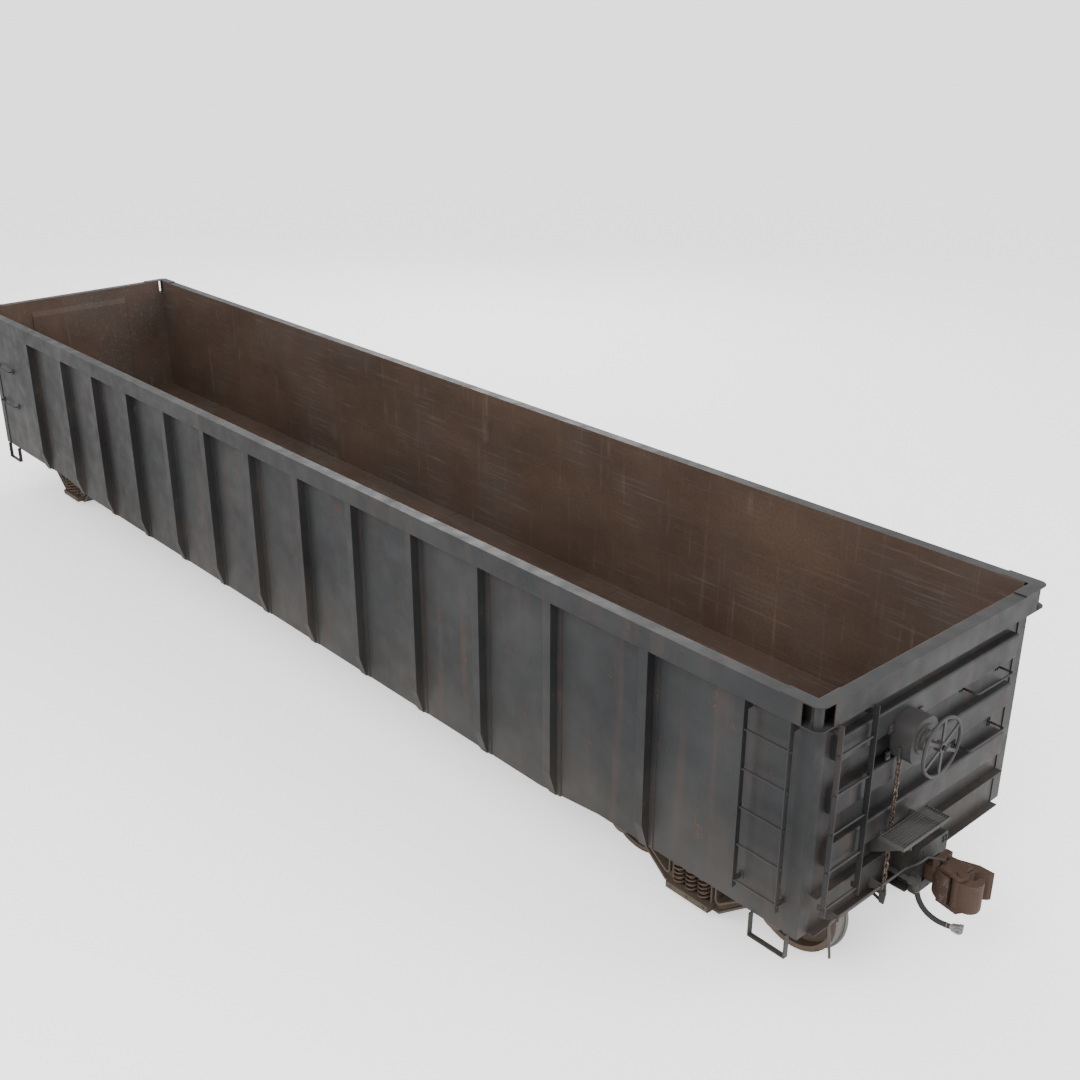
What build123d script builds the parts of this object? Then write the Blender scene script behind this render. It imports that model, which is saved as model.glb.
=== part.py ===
from build123d import *
import os
from math import pi, radians, tan

# A four-axle open-top gondola wagon on two three-piece trucks.
# Lengths are millimetres. X runs along the car towards the hand-brake end, Y across it, Z up.
# The origin is under the middle of the car, level with the tips of the wheel flanges.

# Car body shell
inside_length = 16002
inside_width = 2946
sheet = 8
floor_top = 1169
side_bottom = 787
belly_bottom = 700
belly_gap = 810
belly_rise = 790
chord_bottom = 2766
chord_height = 204
chord_width = 122
chord_wall = 8
corner_gap = 50
overrun = 10
touch = 0.3
quarter_turn = 90
half_turn = 180

# Side posts, pressed hat sections, at shares of the half length on each side of the middle
post_shares = (0, 0.1302, 0.2577, 0.3877, 0.5178, 0.6443, 0.7924)
post_crown = 100
post_depth = 100
post_flange = 50
post_toe = 22
post_taper = 260

# Side sill, a channel inside the foot of each side
sill_height = 180
sill_flange = 70
sill_wall = 10

# Ends: three ribs, a thick liner and angles at the corners
rib_tops = (2600, 2117, 1624)
rib_height = 230
rib_depth = 86
rib_length = 2500
rib_round = 22
rib_drain = 12
liner_width = 1580
liner_thickness = 20
liner_top = 2790
liner_bevel = 80
corner_leg = 125
corner_wall = 10

# Corner caps: a top gusset, a foot plate and a round bar between them
cap_leg = 380
cap_plate = 10
cap_round = 80
cap_bar = 86

# Centre sill
sill_gap = 326
sill_web = 10
sill_bottom = 720
sill_foot = 90
sill_foot_wall = 15
sill_past = 199

# Floor frame
stringer_height = 75
stringer_width = 60
stringer_wall = 8
stringer_places = (-1050, -600, 600, 1050)
bearer_flange = 110
bearer_wall = 8
bearer_inner_bottom = 800
bearer_outer_bottom = 900

# Body bolsters and the centre plates under them
truck_inset = 1431
bolster_width = 360
bolster_wall = 12
bolster_web_gap = 240
bolster_bottom = 705
bolster_flat = 900
bolster_tip_bottom = 940
centre_plate = 380
centre_plate_bottom = 660.3
side_bearing_place = 635
side_bearing_length = 130
side_bearing_width = 90
side_bearing_bottom = 697
side_bearing_rise = 80

# End sills and striker castings
end_sill_depth = 86
end_sill_wall = 10
striker_width = 430
striker_bottom = 690
striker_depth = 62
pocket_width = 250
pocket_height = 185

# Couplers
coupler_height = 864
shank_width = 130
shank_height = 150
head_stand = 321
head_length = 430
head_height = 350
head_width = 320
throat_depth = 160
lug_radius = 62
pivot_depth = 170
pivot_place = 92
pin_radius = 21
pin_head_radius = 31
pin_head_height = 10
knuckle_height = 270
knuckle_gap = 6
knuckle_arm = 66
knuckle_tail = 21
knuckle_heel = 46
knuckle_brow = 41
hook_round = 5
hook_depth = 30
guard_tip = 40
guard_lean = 13
horn_height = 120
horn_width = 200
horn_depth = 60
lift_place = (90, -60)
lift_size = 44
lift_wall = 14
yoke_inset = 991
yoke_length = 630
yoke_height = 290
yoke_wall = 30
gear_length = 340
gear_width = 300

# Uncoupling levers: a bent rod in two brackets on each end sill. Its points go from the face
# of the end, from the side (the first two) or the middle, and from the coupler's height
uncouple_radius = 11
uncouple_bend = 45
uncouple_handle = [(226, 143, -204), (186, 143, 111)]
uncouple_arm = [(186, -280, 111), (291, -240, 208), (291, -130, 208), (416, -60, 208)]
uncouple_brackets = (243, 833)
uncouple_bracket_wall = 12
uncouple_bracket_size = 70
uncouple_bracket_grip = 23

# Wheels, axles and bearings
wheel_diameter = 914
flange_height = 25
back_to_back = 1353
rim_width = 145
rim_depth = 57
flange_width = 33
flange_run = 50
flange_root_rise = 4.2
tread_fall = 4.2
hub_radius = 145
hub_length = 178
hub_inset = 14
plate_wall = 26
plate_dish = 13
plate_offset = 26
axle_radius = 94
seat_radius = 111
guard_radius = 96
bearing_radius = 126
bearing_length = 180
bearing_room = 0.6
cap_radius = 88
cap_length = 24
journal_centres = 2006

# Trucks
wheelbase = 1830
frame_thickness = 160
frame_top = 780
frame_shoulder = 730
frame_bottom = 140
frame_lip = 20
frame_recess = 50
arch_flat = 330
jaw_width = 300
jaw_top = 650
jaw_bottom = 430
window_width = 440
window_top = 655
seat_top = 205
seat_depth = 300
column_width = 70
side_window_end = 650
window_round = 23
adapter_width = 217
truck_bolster_width = 410
truck_bolster_top = 635
truck_bolster_end_bottom = 460
truck_bolster_bottom = 350
truck_bolster_past = 234
truck_bolster_deep = 1000
truck_bolster_end = 1700
bowl_radius = 220
bowl_floor = 660
bowl_rim = 690
bowl_inside = 195
spring_radius = 68
spring_pitch = 145
spring_rows = (3, 2)
swivel_room = 7

# Brake beams
beam_place = 370
beam_height = 400
beam_size = 70
beam_depth = 35
beam_reach = 1698
guide_reach = 170
shoe_clearance = 10
shoe_width = 84
shoe_place = 758
shoe_chord = 320
truss_depth = 105
truss_bar = 32
truss_tip = 128
lever_width = 24
lever_size = 70
lever_bottom = (60, 270)
lever_top = (-190, 620)
bottom_rod = 30

# Ladders, grab irons and stirrup steps
ladder_width = 440
ladder_bottom = 1010
ladder_top = 2766
ladder_stile = 50
ladder_stile_wall = 10
ladder_side_inset = 361
ladder_end_place = 1130
ladder_end_stand = 132
ladder_stand = 90
rung_radius = 11
rung_count = 5
rung_first = 1075
rung_pitch = 355
iron_span = 560
iron_stand = 70
iron_radius = 10
iron_bend = 30
side_iron_heights = (1540, 2105)
end_iron_heights = (1745, 2300)
side_iron_inset = 441
end_iron_place = 830
step_width = 380
step_drop = 232
step_bar = 50
step_wall = 12
step_inset = 261

# Hand brake, its step and its chain
brake_place = 420
housing_drop = 215
housing_width = 360
housing_height = 400
housing_depth = 190
housing_round = 150
housing_foot_round = 38
housing_boss = 90
brake_wheel_radius = 265
brake_wheel_wire = 14
brake_wheel_hub = 45
brake_wheel_stand = 431
brake_wheel_drop = 436
brake_spokes = 6
chain_place = 490
chain_stand = 123
chain_pitch = 50
chain_wire = 6.5
chain_width = 44
chain_foot = 915
crank_pivot = 800
crank_arm = 22
crank_waist = 33
crank_foot = 690
crank_wall = 16
crank_bracket_wall = 24
crank_bracket_top = 844
brake_step_place = 365
brake_step_width = 660
brake_step_depth = 230
brake_step_top = 1480
brake_step_height = 32
brake_step_stand = 156
grating_bars = 9
grating_wall = 8
bracket_wall = 8
bracket_height = 260
bracket_place = 220

# Air brake gear under the floor
pipe_radius = 21
pipe_place = 330
pipe_height = 775
pipe_end_height = 930
pipe_stand = 261
pipe_rise_insets = (361, 101)
pipe_dip = 685
pipe_cross_start = 520
pipe_cross_end = 230
pipe_bend = 90
pipe_room = 12
cock_length = 90
cock_radius = 34
reservoir_radius = 190
reservoir_length = 860
reservoir_place = (-1552, 640, 870)
reservoir_dish = 70
valve_place = (-620, 620, 900)
valve_size = 240
valve_bracket = 110
valve_cover = 95
valve_cover_depth = 75
cylinder_radius = 140
cylinder_length = 400
cylinder_flange = 165
cylinder_flange_wall = 32
cylinder_place = (-770, -620, 768)
hanger_width = 60
strap_wall = 6
strap_place = 215

# Brake levers and rods; the guides are at shares of the rods' reach
rod_height = 768
rod_radius = 13
rod_place = 250
rod_gap = 670
rod_jaw = 120
rod_jaw_height = 56
rod_guide_shares = (0.254, 0.61, 0.949)
rod_guide_wall = 20
rod_guide_size = 50
cross_lever_place = -290
cross_lever_size = 90
cross_lever_wall = 18
cross_lever_past = 22
lever_slot = (240, 40)
push_rod_radius = 22
hand_rod_route = [(123, -490, 706), (-709, -200, 694), (-879, -110, 694)]

# Air hoses: free hoses from the cocks to the coupling heads, from the face of the end
hose_radius = 23
hose_route = [
    (336, -330, 872),
    (351, -330, 814),
    (379, -327, 761),
    (416, -320, 714),
    (463, -308, 676),
    (516, -292, 649),
    (574, -272, 633),
    (631, -250, 628),
]
hose_arc_share = 0.45
cock_stem = 58
nipple_length = 30
glad_hand_radius = 40
glad_hand_wall = 19
glad_hand_neck = 27
gasket_radius = 27
gasket_rise = 9
hook_size = (34, 16)
hook_place = 60

# Values worked out from the ones above
half_length = inside_length / 2
half_width = inside_width / 2
floor_bottom = floor_top - sheet
striker_top = floor_bottom
chord_top = chord_bottom + chord_height
frame_level = floor_bottom - stringer_height
axle_height = wheel_diameter / 2 + flange_height
tread_radius = wheel_diameter / 2
truck_place = half_length - truck_inset
sheet_face = half_width + sheet
end_face = half_length + sheet
belly_end = 2 * (truck_place - belly_gap)
belly_flat = belly_end - 2 * belly_rise
sill_reach = half_length + sill_past
head_back = end_face + head_stand
pull_face = head_back + head_length
yoke_start = half_length - yoke_inset
yoke_end = yoke_start + yoke_length
uncouple_points = [(end_face + x, y - half_width, coupler_height + z) for x, y, z in uncouple_handle]
uncouple_points += [(end_face + x, y, coupler_height + z) for x, y, z in uncouple_arm]
truck_bolster_length = journal_centres + truck_bolster_past
ladder_side_place = half_length - ladder_side_inset
side_iron_place = half_length - side_iron_inset
step_place = half_length - step_inset
brake_wheel_height = chord_bottom - brake_wheel_drop
housing_bottom = brake_wheel_height - housing_drop
chain_links = round((housing_bottom - chain_foot) / chain_pitch)
brake_wheel_face = end_face + brake_wheel_stand
chain_run = end_face + chain_stand
brake_step_inner = end_face + brake_step_stand
pipe_end = end_face + pipe_stand
pipe_rise_start, pipe_rise_end = [half_length - inset for inset in pipe_rise_insets]
rod_end = truck_place - rod_gap
hand_rod_points = [(end_face + x, y, z) for x, y, z in hand_rod_route]
hose_points = [Vector(end_face + x, y, z) for x, y, z in hose_route]
car_ends = (("b", 0), ("a", half_turn))
post_places = sorted({side * share * half_length for share in post_shares for side in (-1, 1)})

os.makedirs("parts", exist_ok=True)


def save(piece, name):
    """Label a finished piece and write it as one STEP file."""
    piece.label = name
    export_step(piece, "parts/" + name + ".step")


def belly_line(lift):
    """The foot of the side from end to end, deeper between the trucks, lifted by a height."""
    return [
        (-half_length, side_bottom + lift),
        (-belly_end / 2, side_bottom + lift),
        (-belly_flat / 2, belly_bottom + lift),
        (belly_flat / 2, belly_bottom + lift),
        (belly_end / 2, side_bottom + lift),
        (half_length, side_bottom + lift),
    ]


def foot_at(place):
    """Height of the foot of the side at a place along the car."""
    reach = abs(place)
    if reach <= belly_flat / 2:
        return belly_bottom
    if reach >= belly_end / 2:
        return side_bottom
    rise_share = (reach - belly_flat / 2) / (belly_end / 2 - belly_flat / 2)
    return belly_bottom + (side_bottom - belly_bottom) * rise_share


# Floor plate, notched for the end liners
with BuildPart() as floor:
    with BuildSketch(Plane.XY.offset(floor_bottom)):
        Rectangle(inside_length, inside_width)
        with Locations((-half_length, 0), (half_length, 0)):
            Rectangle(2 * liner_thickness, liner_width, mode=Mode.SUBTRACT)
    extrude(amount=sheet)
save(floor.part, "floor")

# Side sheets
with BuildPart() as side_sheets:
    with BuildSketch(Plane.XZ.offset(half_width)):
        with BuildLine():
            Polyline(*belly_line(0), (half_length, chord_bottom), (-half_length, chord_bottom), close=True)
        make_face()
    extrude(amount=sheet)
    mirror(about=Plane.XZ)
save(side_sheets.part, "side_sheets")

# Side sills: the web follows the foot of the side, and its flanges turn inwards
with BuildPart() as side_sills:
    sill_top = side_bottom + sill_height
    with BuildSketch(Plane.XZ.offset(half_width - sill_wall)):
        with BuildLine():
            Polyline(*belly_line(0), (half_length, sill_top), (-half_length, sill_top), close=True)
        make_face()
    extrude(amount=sill_wall)
    with BuildSketch(Plane.XZ.offset(half_width - sill_flange)):
        with BuildLine():
            Polyline(*belly_line(0), *reversed(belly_line(sill_wall)), close=True)
        make_face()
        with Locations((0, sill_top - sill_wall / 2)):
            Rectangle(inside_length, sill_wall)
    extrude(amount=sill_flange - sill_wall)
    mirror(about=Plane.XZ)
save(side_sills.part, "side_sills")

# Side posts
with BuildPart() as side_posts:
    for place in post_places:
        foot = foot_at(place)
        with BuildSketch(Plane.YZ.offset(place)):
            with BuildLine():
                Polyline(
                    (-sheet_face, foot),
                    (-sheet_face - post_toe, foot),
                    (-sheet_face - post_depth, foot + post_taper),
                    (-sheet_face - post_depth, chord_bottom),
                    (-sheet_face, chord_bottom),
                    close=True,
                )
            make_face()
        extrude(amount=post_crown / 2, both=True)
        with BuildSketch(Plane.YZ.offset(place)):
            with BuildLine():
                Polyline(
                    (-sheet_face, foot),
                    (-sheet_face - sheet, foot),
                    (-sheet_face - sheet, chord_bottom),
                    (-sheet_face, chord_bottom),
                    close=True,
                )
            make_face()
        extrude(amount=post_crown / 2 + post_flange, both=True)
        with BuildSketch(Plane.YZ.offset(place)):
            with BuildLine():
                Polyline(
                    (-sheet_face + overrun, foot - overrun),
                    (-sheet_face - post_toe + sheet, foot - overrun),
                    (-sheet_face - post_toe + sheet, foot),
                    (-sheet_face - post_depth + sheet, foot + post_taper),
                    (-sheet_face - post_depth + sheet, chord_bottom + overrun),
                    (-sheet_face + overrun, chord_bottom + overrun),
                    close=True,
                )
            make_face()
        extrude(amount=post_crown / 2 - sheet, both=True, mode=Mode.SUBTRACT)
    mirror(about=Plane.XZ)
save(side_posts.part, "side_posts")

# Top chords along the sides, box tubes
chord_height_middle = (chord_bottom + chord_top) / 2
with BuildPart() as top_chords:
    with BuildSketch(Plane.YZ):
        with Locations((-half_width - chord_width / 2, chord_height_middle)):
            Rectangle(chord_width, chord_height)
            Rectangle(chord_width - 2 * chord_wall, chord_height - 2 * chord_wall, mode=Mode.SUBTRACT)
    extrude(amount=half_length - corner_gap, both=True)
    mirror(about=Plane.XZ)
save(top_chords.part, "top_chords")

# Top chords across the ends
with BuildPart() as end_chords:
    with BuildSketch(Plane.XZ):
        with Locations((half_length + chord_width / 2, chord_height_middle)):
            Rectangle(chord_width, chord_height)
            Rectangle(chord_width - 2 * chord_wall, chord_height - 2 * chord_wall, mode=Mode.SUBTRACT)
    extrude(amount=half_width - corner_gap, both=True)
    mirror(about=Plane.YZ)
save(end_chords.part, "end_chords")

# Corner caps
corner_x = half_length + chord_width
corner_y = half_width + chord_width
with BuildPart() as corner_caps:
    with BuildSketch(Plane.XY.offset(chord_top)):
        with BuildLine():
            Polyline(
                (corner_x, corner_y),
                (corner_x - cap_leg, corner_y),
                (corner_x - cap_leg, half_width),
                (half_length, half_width),
                (half_length, corner_y - cap_leg),
                (corner_x, corner_y - cap_leg),
                close=True,
            )
        cap_face = make_face()
        fillet(cap_face.vertices().sort_by(Axis((0, 0, 0), (1, 1, 0)))[-1], radius=cap_round)
    extrude(amount=cap_plate)
    with BuildSketch(Plane.XY.offset(chord_bottom)):
        with BuildLine():
            Polyline(
                (half_length - corner_gap, half_width),
                (half_length, half_width - corner_gap),
                (corner_x, half_width - corner_gap),
                (corner_x, corner_y),
                (half_length - corner_gap, corner_y),
                close=True,
            )
        foot_face = make_face()
        fillet(foot_face.vertices().sort_by(Axis((0, 0, 0), (1, 1, 0)))[-1], radius=cap_round)
    extrude(amount=cap_plate)
    with BuildSketch(Plane.XY.offset(chord_bottom)):
        with Locations((corner_x - cap_round, corner_y - cap_round)):
            Circle(cap_bar / 2)
    extrude(amount=chord_height)
    mirror(about=Plane.XZ)
    mirror(about=Plane.YZ)
save(corner_caps.part, "corner_caps")

# End walls, each a sheet with three channel ribs, closed at their ends and drained below
with BuildPart() as end_walls:
    with BuildSketch(Plane.YZ.offset(half_length)):
        with Locations((0, (floor_bottom + chord_bottom) / 2)):
            Rectangle(2 * sheet_face, chord_bottom - floor_bottom)
    extrude(amount=sheet)
    for top in rib_tops:
        with BuildSketch(Plane.XZ):
            with Locations((end_face + rib_depth / 2, top - rib_height / 2)):
                rib_face = Rectangle(rib_depth, rib_height)
            fillet(rib_face.vertices().group_by(Axis.X)[-1], radius=rib_round)
        extrude(amount=rib_length / 2, both=True)
        with BuildSketch(Plane.XZ):
            with Locations((end_face + (rib_depth - sheet) / 2, top - rib_height / 2)):
                Rectangle(rib_depth - sheet, rib_height - 2 * sheet)
        extrude(amount=rib_length / 2 - sheet, both=True, mode=Mode.SUBTRACT)
        with BuildSketch(Plane.XY.offset(top - rib_height)):
            with Locations((end_face + rib_depth / 2, 0)):
                Circle(rib_drain)
        extrude(amount=sheet, mode=Mode.SUBTRACT)
    mirror(about=Plane.YZ)
save(end_walls.part, "end_walls")

# Thick liners in the middle of each end, bevelled along the top
with BuildPart() as end_liners:
    with BuildSketch(Plane.XZ):
        with BuildLine():
            Polyline(
                (half_length, floor_bottom),
                (half_length, liner_top),
                (half_length - liner_thickness, liner_top - liner_bevel),
                (half_length - liner_thickness, floor_bottom),
                close=True,
            )
        make_face()
    extrude(amount=liner_width / 2, both=True)
    mirror(about=Plane.YZ)
save(end_liners.part, "end_liners")

# Corner posts, rolled angles outside the sheets
with BuildPart() as corner_posts:
    with BuildSketch(Plane.XY.offset(side_bottom)):
        with BuildLine():
            Polyline(
                (end_face, sheet_face),
                (end_face, sheet_face - corner_leg),
                (end_face + corner_wall, sheet_face - corner_leg),
                (end_face + corner_wall, sheet_face + corner_wall),
                (end_face - corner_leg, sheet_face + corner_wall),
                (end_face - corner_leg, sheet_face),
                close=True,
            )
        make_face()
    extrude(amount=chord_bottom - side_bottom)
    mirror(about=Plane.XZ)
    mirror(about=Plane.YZ)
save(corner_posts.part, "corner_posts")

# Centre sill
sill_face = sill_gap / 2 + sill_web
with BuildPart() as centre_sill:
    with BuildSketch(Plane.YZ):
        for side in (-1, 1):
            with Locations((side * (sill_face - sill_web / 2), (sill_bottom + floor_bottom) / 2)):
                Rectangle(sill_web, floor_bottom - sill_bottom)
            with Locations((side * (sill_face + sill_foot / 2), sill_bottom + sill_foot_wall / 2)):
                Rectangle(sill_foot, sill_foot_wall)
        with Locations((0, floor_bottom - sill_web / 2)):
            Rectangle(2 * sill_face, sill_web)
    extrude(amount=sill_reach, both=True)
    with BuildSketch(Plane.XZ):
        with Locations((cross_lever_place, rod_height)):
            Rectangle(*lever_slot)
    extrude(amount=sill_face, both=True, mode=Mode.SUBTRACT)
save(centre_sill.part, "centre_sill")

# Floor stringers, channels laid on the cross bearers
with BuildPart() as stringers:
    with BuildSketch(Plane.YZ):
        for place in stringer_places:
            with Locations((place, floor_bottom - stringer_height / 2)):
                Rectangle(stringer_width, stringer_height)
            with Locations((place + stringer_wall, floor_bottom - stringer_height / 2)):
                Rectangle(stringer_width, stringer_height - 2 * stringer_wall, mode=Mode.SUBTRACT)
    extrude(amount=half_length, both=True)
save(stringers.part, "stringers")

# Cross bearers at the posts between the trucks, tapered I beams
with BuildPart() as cross_bearers:
    bearer_outer = half_width - sill_wall
    bearer_places = [place for place in post_places if abs(place) < belly_end / 2]
    for place in bearer_places:
        with BuildSketch(Plane.YZ.offset(place)):
            with BuildLine():
                Polyline(
                    (-sill_face, frame_level),
                    (-sill_face, bearer_inner_bottom),
                    (-bearer_outer, bearer_outer_bottom),
                    (-bearer_outer, sill_top - sill_wall),
                    (-half_width + sill_flange, sill_top - sill_wall),
                    (-half_width + sill_flange, frame_level),
                    close=True,
                )
            make_face()
        extrude(amount=bearer_wall / 2, both=True)
        with BuildSketch(Plane.YZ.offset(place)):
            with BuildLine():
                Polyline(
                    (-sill_face, bearer_inner_bottom),
                    (-bearer_outer, bearer_outer_bottom),
                    (-bearer_outer, bearer_outer_bottom + bearer_wall),
                    (-sill_face, bearer_inner_bottom + bearer_wall),
                    close=True,
                )
            make_face()
            with BuildLine():
                Polyline(
                    (-sill_face, frame_level),
                    (-half_width + sill_flange, frame_level),
                    (-half_width + sill_flange, frame_level - bearer_wall),
                    (-sill_face, frame_level - bearer_wall),
                    close=True,
                )
            make_face()
        extrude(amount=bearer_flange / 2, both=True)
    mirror(about=Plane.XZ)
save(cross_bearers.part, "cross_bearers")

# Body bolsters: box arms to the side sills, with a centre plate and side bearings under them
with BuildPart() as body_bolsters:
    bolster_outer = half_width - sill_flange
    bolster_outline = [
        (-bolster_outer, frame_level),
        (-bolster_outer, bolster_tip_bottom),
        (-bolster_flat / 2, bolster_bottom),
        (bolster_flat / 2, bolster_bottom),
        (bolster_outer, bolster_tip_bottom),
        (bolster_outer, frame_level),
    ]
    bolster_foot = bolster_outline[1:-1]
    bolster_foot_top = [(y, z + sill_foot_wall) for y, z in reversed(bolster_foot)]
    for side in (-1, 1):
        with BuildSketch(Plane.YZ.offset(truck_place + side * bolster_web_gap / 2)):
            with BuildLine():
                Polyline(*bolster_outline, close=True)
            make_face()
        extrude(amount=bolster_wall / 2, both=True)
    with BuildSketch(Plane.YZ.offset(truck_place)):
        with BuildLine():
            Polyline(*bolster_foot, *bolster_foot_top, close=True)
        make_face()
        with Locations((0, frame_level - bolster_wall / 2)):
            Rectangle(2 * bolster_outer, bolster_wall)
    extrude(amount=bolster_width / 2, both=True)
    with BuildSketch(Plane.YZ.offset(truck_place)):
        with Locations((0, (sill_bottom + frame_level + overrun) / 2)):
            Rectangle(2 * sill_face, frame_level + overrun - sill_bottom)
        with Locations((0, sill_bottom + sill_foot_wall / 2)):
            Rectangle(2 * (sill_face + sill_foot), sill_foot_wall)
        with Locations((-pipe_place, pipe_height), (pipe_place, pipe_height)):
            Circle(pipe_radius + pipe_room)
    extrude(amount=bolster_width, both=True, mode=Mode.SUBTRACT)
    with BuildSketch(Plane.XY.offset(centre_plate_bottom)):
        with Locations((truck_place, 0)):
            Circle(centre_plate / 2)
    extrude(amount=bolster_bottom - centre_plate_bottom)
    for side in (-1, 1):
        with BuildSketch(Plane.XY.offset(side_bearing_bottom)):
            with Locations((truck_place, side * side_bearing_place)):
                Rectangle(side_bearing_width, side_bearing_length)
        extrude(amount=side_bearing_rise)
    mirror(about=Plane.YZ)
save(body_bolsters.part, "body_bolsters")

# End sills: a channel each side of the centre sill, and the striker casting in front of it
end_sill_end = sheet_face - corner_leg
end_sill_middle = (side_bottom + floor_bottom) / 2
with BuildPart() as end_sill:
    for side in (-1, 1):
        with BuildSketch(Plane.XZ.offset(-side * sill_face)):
            with Locations((half_length + end_sill_depth / 2, end_sill_middle)):
                Rectangle(end_sill_depth, floor_bottom - side_bottom)
            with Locations((half_length + (end_sill_depth + end_sill_wall) / 2, end_sill_middle)):
                Rectangle(
                    end_sill_depth - end_sill_wall,
                    floor_bottom - side_bottom - 2 * end_sill_wall,
                    mode=Mode.SUBTRACT,
                )
        extrude(amount=-side * (end_sill_end - sill_face))
    with BuildSketch(Plane.YZ.offset(half_length)):
        with Locations((-pipe_place, pipe_end_height)):
            Circle(pipe_radius + touch)
    extrude(amount=end_sill_depth, mode=Mode.SUBTRACT)
    with BuildSketch(Plane.YZ.offset(sill_reach)):
        with Locations((0, (striker_bottom + striker_top) / 2)):
            striker_face = Rectangle(striker_width, striker_top - striker_bottom)
        fillet(striker_face.vertices(), radius=striker_depth / 2)
        with Locations((0, coupler_height + (pocket_height - shank_height) / 2)):
            Rectangle(pocket_width, pocket_height, mode=Mode.SUBTRACT)
    extrude(amount=striker_depth)
with BuildPart() as end_sills:
    with PolarLocations(0, len(car_ends)):
        add(end_sill.part)
save(end_sills.part, "end_sills")

# Couplers: yoke and shank, and a head with a guard arm on one side and knuckle lugs on the other
half_head = head_width / 2
pivot_x = pull_face - pivot_depth
throat_x = pull_face - throat_depth
with BuildPart() as coupler:
    with BuildSketch(Plane.XY.offset(coupler_height - shank_height / 2)):
        with Locations(((yoke_end + head_back) / 2, 0)):
            Rectangle(head_back - yoke_end, shank_width)
    extrude(amount=shank_height)
    with BuildSketch(Plane.XZ):
        with Locations(((yoke_start + yoke_end) / 2, coupler_height)):
            Rectangle(yoke_end - yoke_start, yoke_height)
            Rectangle(yoke_end - yoke_start - 2 * yoke_wall, yoke_height - 2 * yoke_wall, mode=Mode.SUBTRACT)
    extrude(amount=shank_width / 2, both=True)
    with BuildSketch(Plane.YZ.offset(yoke_start + yoke_wall)):
        with Locations((0, coupler_height)):
            Rectangle(gear_width, yoke_height - 2 * yoke_wall)
    extrude(amount=gear_length)
    with BuildSketch(Plane.XY.offset(coupler_height - knuckle_height / 2)):
        with BuildLine():
            Polyline(
                (throat_x, 0),
                (throat_x + guard_tip / 2, half_head / 2),
                (pull_face - guard_tip, half_head - guard_lean),
                (pull_face - guard_tip / 2, half_head + guard_tip / 2),
                (throat_x, half_head + guard_tip / 2),
            )
            Spline(
                (throat_x, half_head + guard_tip / 2),
                (head_back + half_head, half_head - guard_tip / 2),
                (head_back, shank_width / 2),
            )
            Line((head_back, shank_width / 2), (head_back, -shank_width / 2))
            Spline(
                (head_back, -shank_width / 2),
                (head_back + half_head, -half_head),
                (pivot_x - lug_radius, -half_head),
            )
            Polyline(
                (pivot_x - lug_radius, -half_head),
                (pivot_x - lug_radius, -pivot_place / 2),
                (throat_x, 0),
            )
        make_face()
    extrude(amount=knuckle_height)
    for level in (coupler_height - head_height / 2, coupler_height + knuckle_height / 2 + knuckle_gap):
        with BuildSketch(Plane.XY.offset(level)):
            with Locations((pivot_x, -pivot_place)):
                Circle(lug_radius)
            with BuildLine():
                Polyline(
                    (pivot_x, -pivot_place - lug_radius),
                    (head_back + half_head / 2, -pivot_place - lug_radius / 2),
                    (head_back + half_head / 2, shank_width / 2),
                    (throat_x, half_head / 2),
                    (pivot_x, -pivot_place + lug_radius),
                    close=True,
                )
            make_face()
            with Locations((pivot_x, -pivot_place)):
                Circle(pin_radius + touch, mode=Mode.SUBTRACT)
        extrude(amount=(head_height - knuckle_height) / 2 - knuckle_gap)
    for level in (-1, 1):
        with BuildSketch(Plane.XY.offset(coupler_height + level * (knuckle_height + knuckle_gap) / 2)):
            with BuildLine():
                Polyline(
                    (pivot_x - lug_radius - knuckle_gap, -pivot_place - lug_radius / 2),
                    (head_back + half_head / 2, -pivot_place - lug_radius / 2),
                    (head_back + half_head / 2, shank_width / 2),
                    (pivot_x - lug_radius - knuckle_gap, shank_width / 2),
                    close=True,
                )
            make_face()
        extrude(amount=knuckle_gap / 2, both=True)
    with BuildSketch(Plane.YZ.offset(head_back)):
        with Locations((0, coupler_height + shank_height / 2)):
            Rectangle(horn_width, horn_height, align=(Align.CENTER, Align.MIN))
    extrude(amount=horn_depth)
    with BuildSketch(Plane.XY.offset(coupler_height + head_height / 2)):
        with Locations((head_back + lift_place[0], lift_place[1])):
            Rectangle(lift_size, lift_wall)
    extrude(amount=uncouple_points[-1][2] - coupler_height - head_height / 2 - uncouple_radius)
with BuildPart() as coupler_pair:
    with PolarLocations(0, len(car_ends)):
        add(coupler.part)
save(coupler_pair.part, "couplers")

# Knuckles with their pivot pins
with BuildPart() as knuckle:
    with BuildSketch(Plane.XY.offset(coupler_height - knuckle_height / 2)):
        with Locations((pivot_x, -pivot_place)):
            Circle(lug_radius - touch)
        with BuildLine():
            back = pivot_x - knuckle_tail
            hook = pull_face - knuckle_arm
            Spline(
                (back, -pivot_place - knuckle_heel),
                (hook - guard_tip, -pivot_place - lug_radius),
                (pull_face - guard_tip, -pivot_place - knuckle_brow),
                (pull_face - touch, -pivot_place + guard_tip / 2),
                (pull_face - hook_round, 0),
                (pull_face - guard_tip / 2, hook_depth),
                (hook + hook_round, guard_tip),
            )
            Polyline(
                (hook + hook_round, guard_tip),
                (hook - guard_lean, -guard_tip),
                (pivot_x, -pivot_place / 2),
                (back, -pivot_place - knuckle_heel),
            )
        make_face()
    extrude(amount=knuckle_height)
    with BuildSketch(Plane.XY.offset(coupler_height - head_height / 2 - guard_tip)):
        with Locations((pivot_x, -pivot_place)):
            Circle(pin_radius)
    extrude(amount=head_height + guard_tip)
    with BuildSketch(Plane.XY.offset(coupler_height + head_height / 2)):
        with Locations((pivot_x, -pivot_place)):
            Circle(pin_head_radius)
    extrude(amount=pin_head_height)
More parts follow.
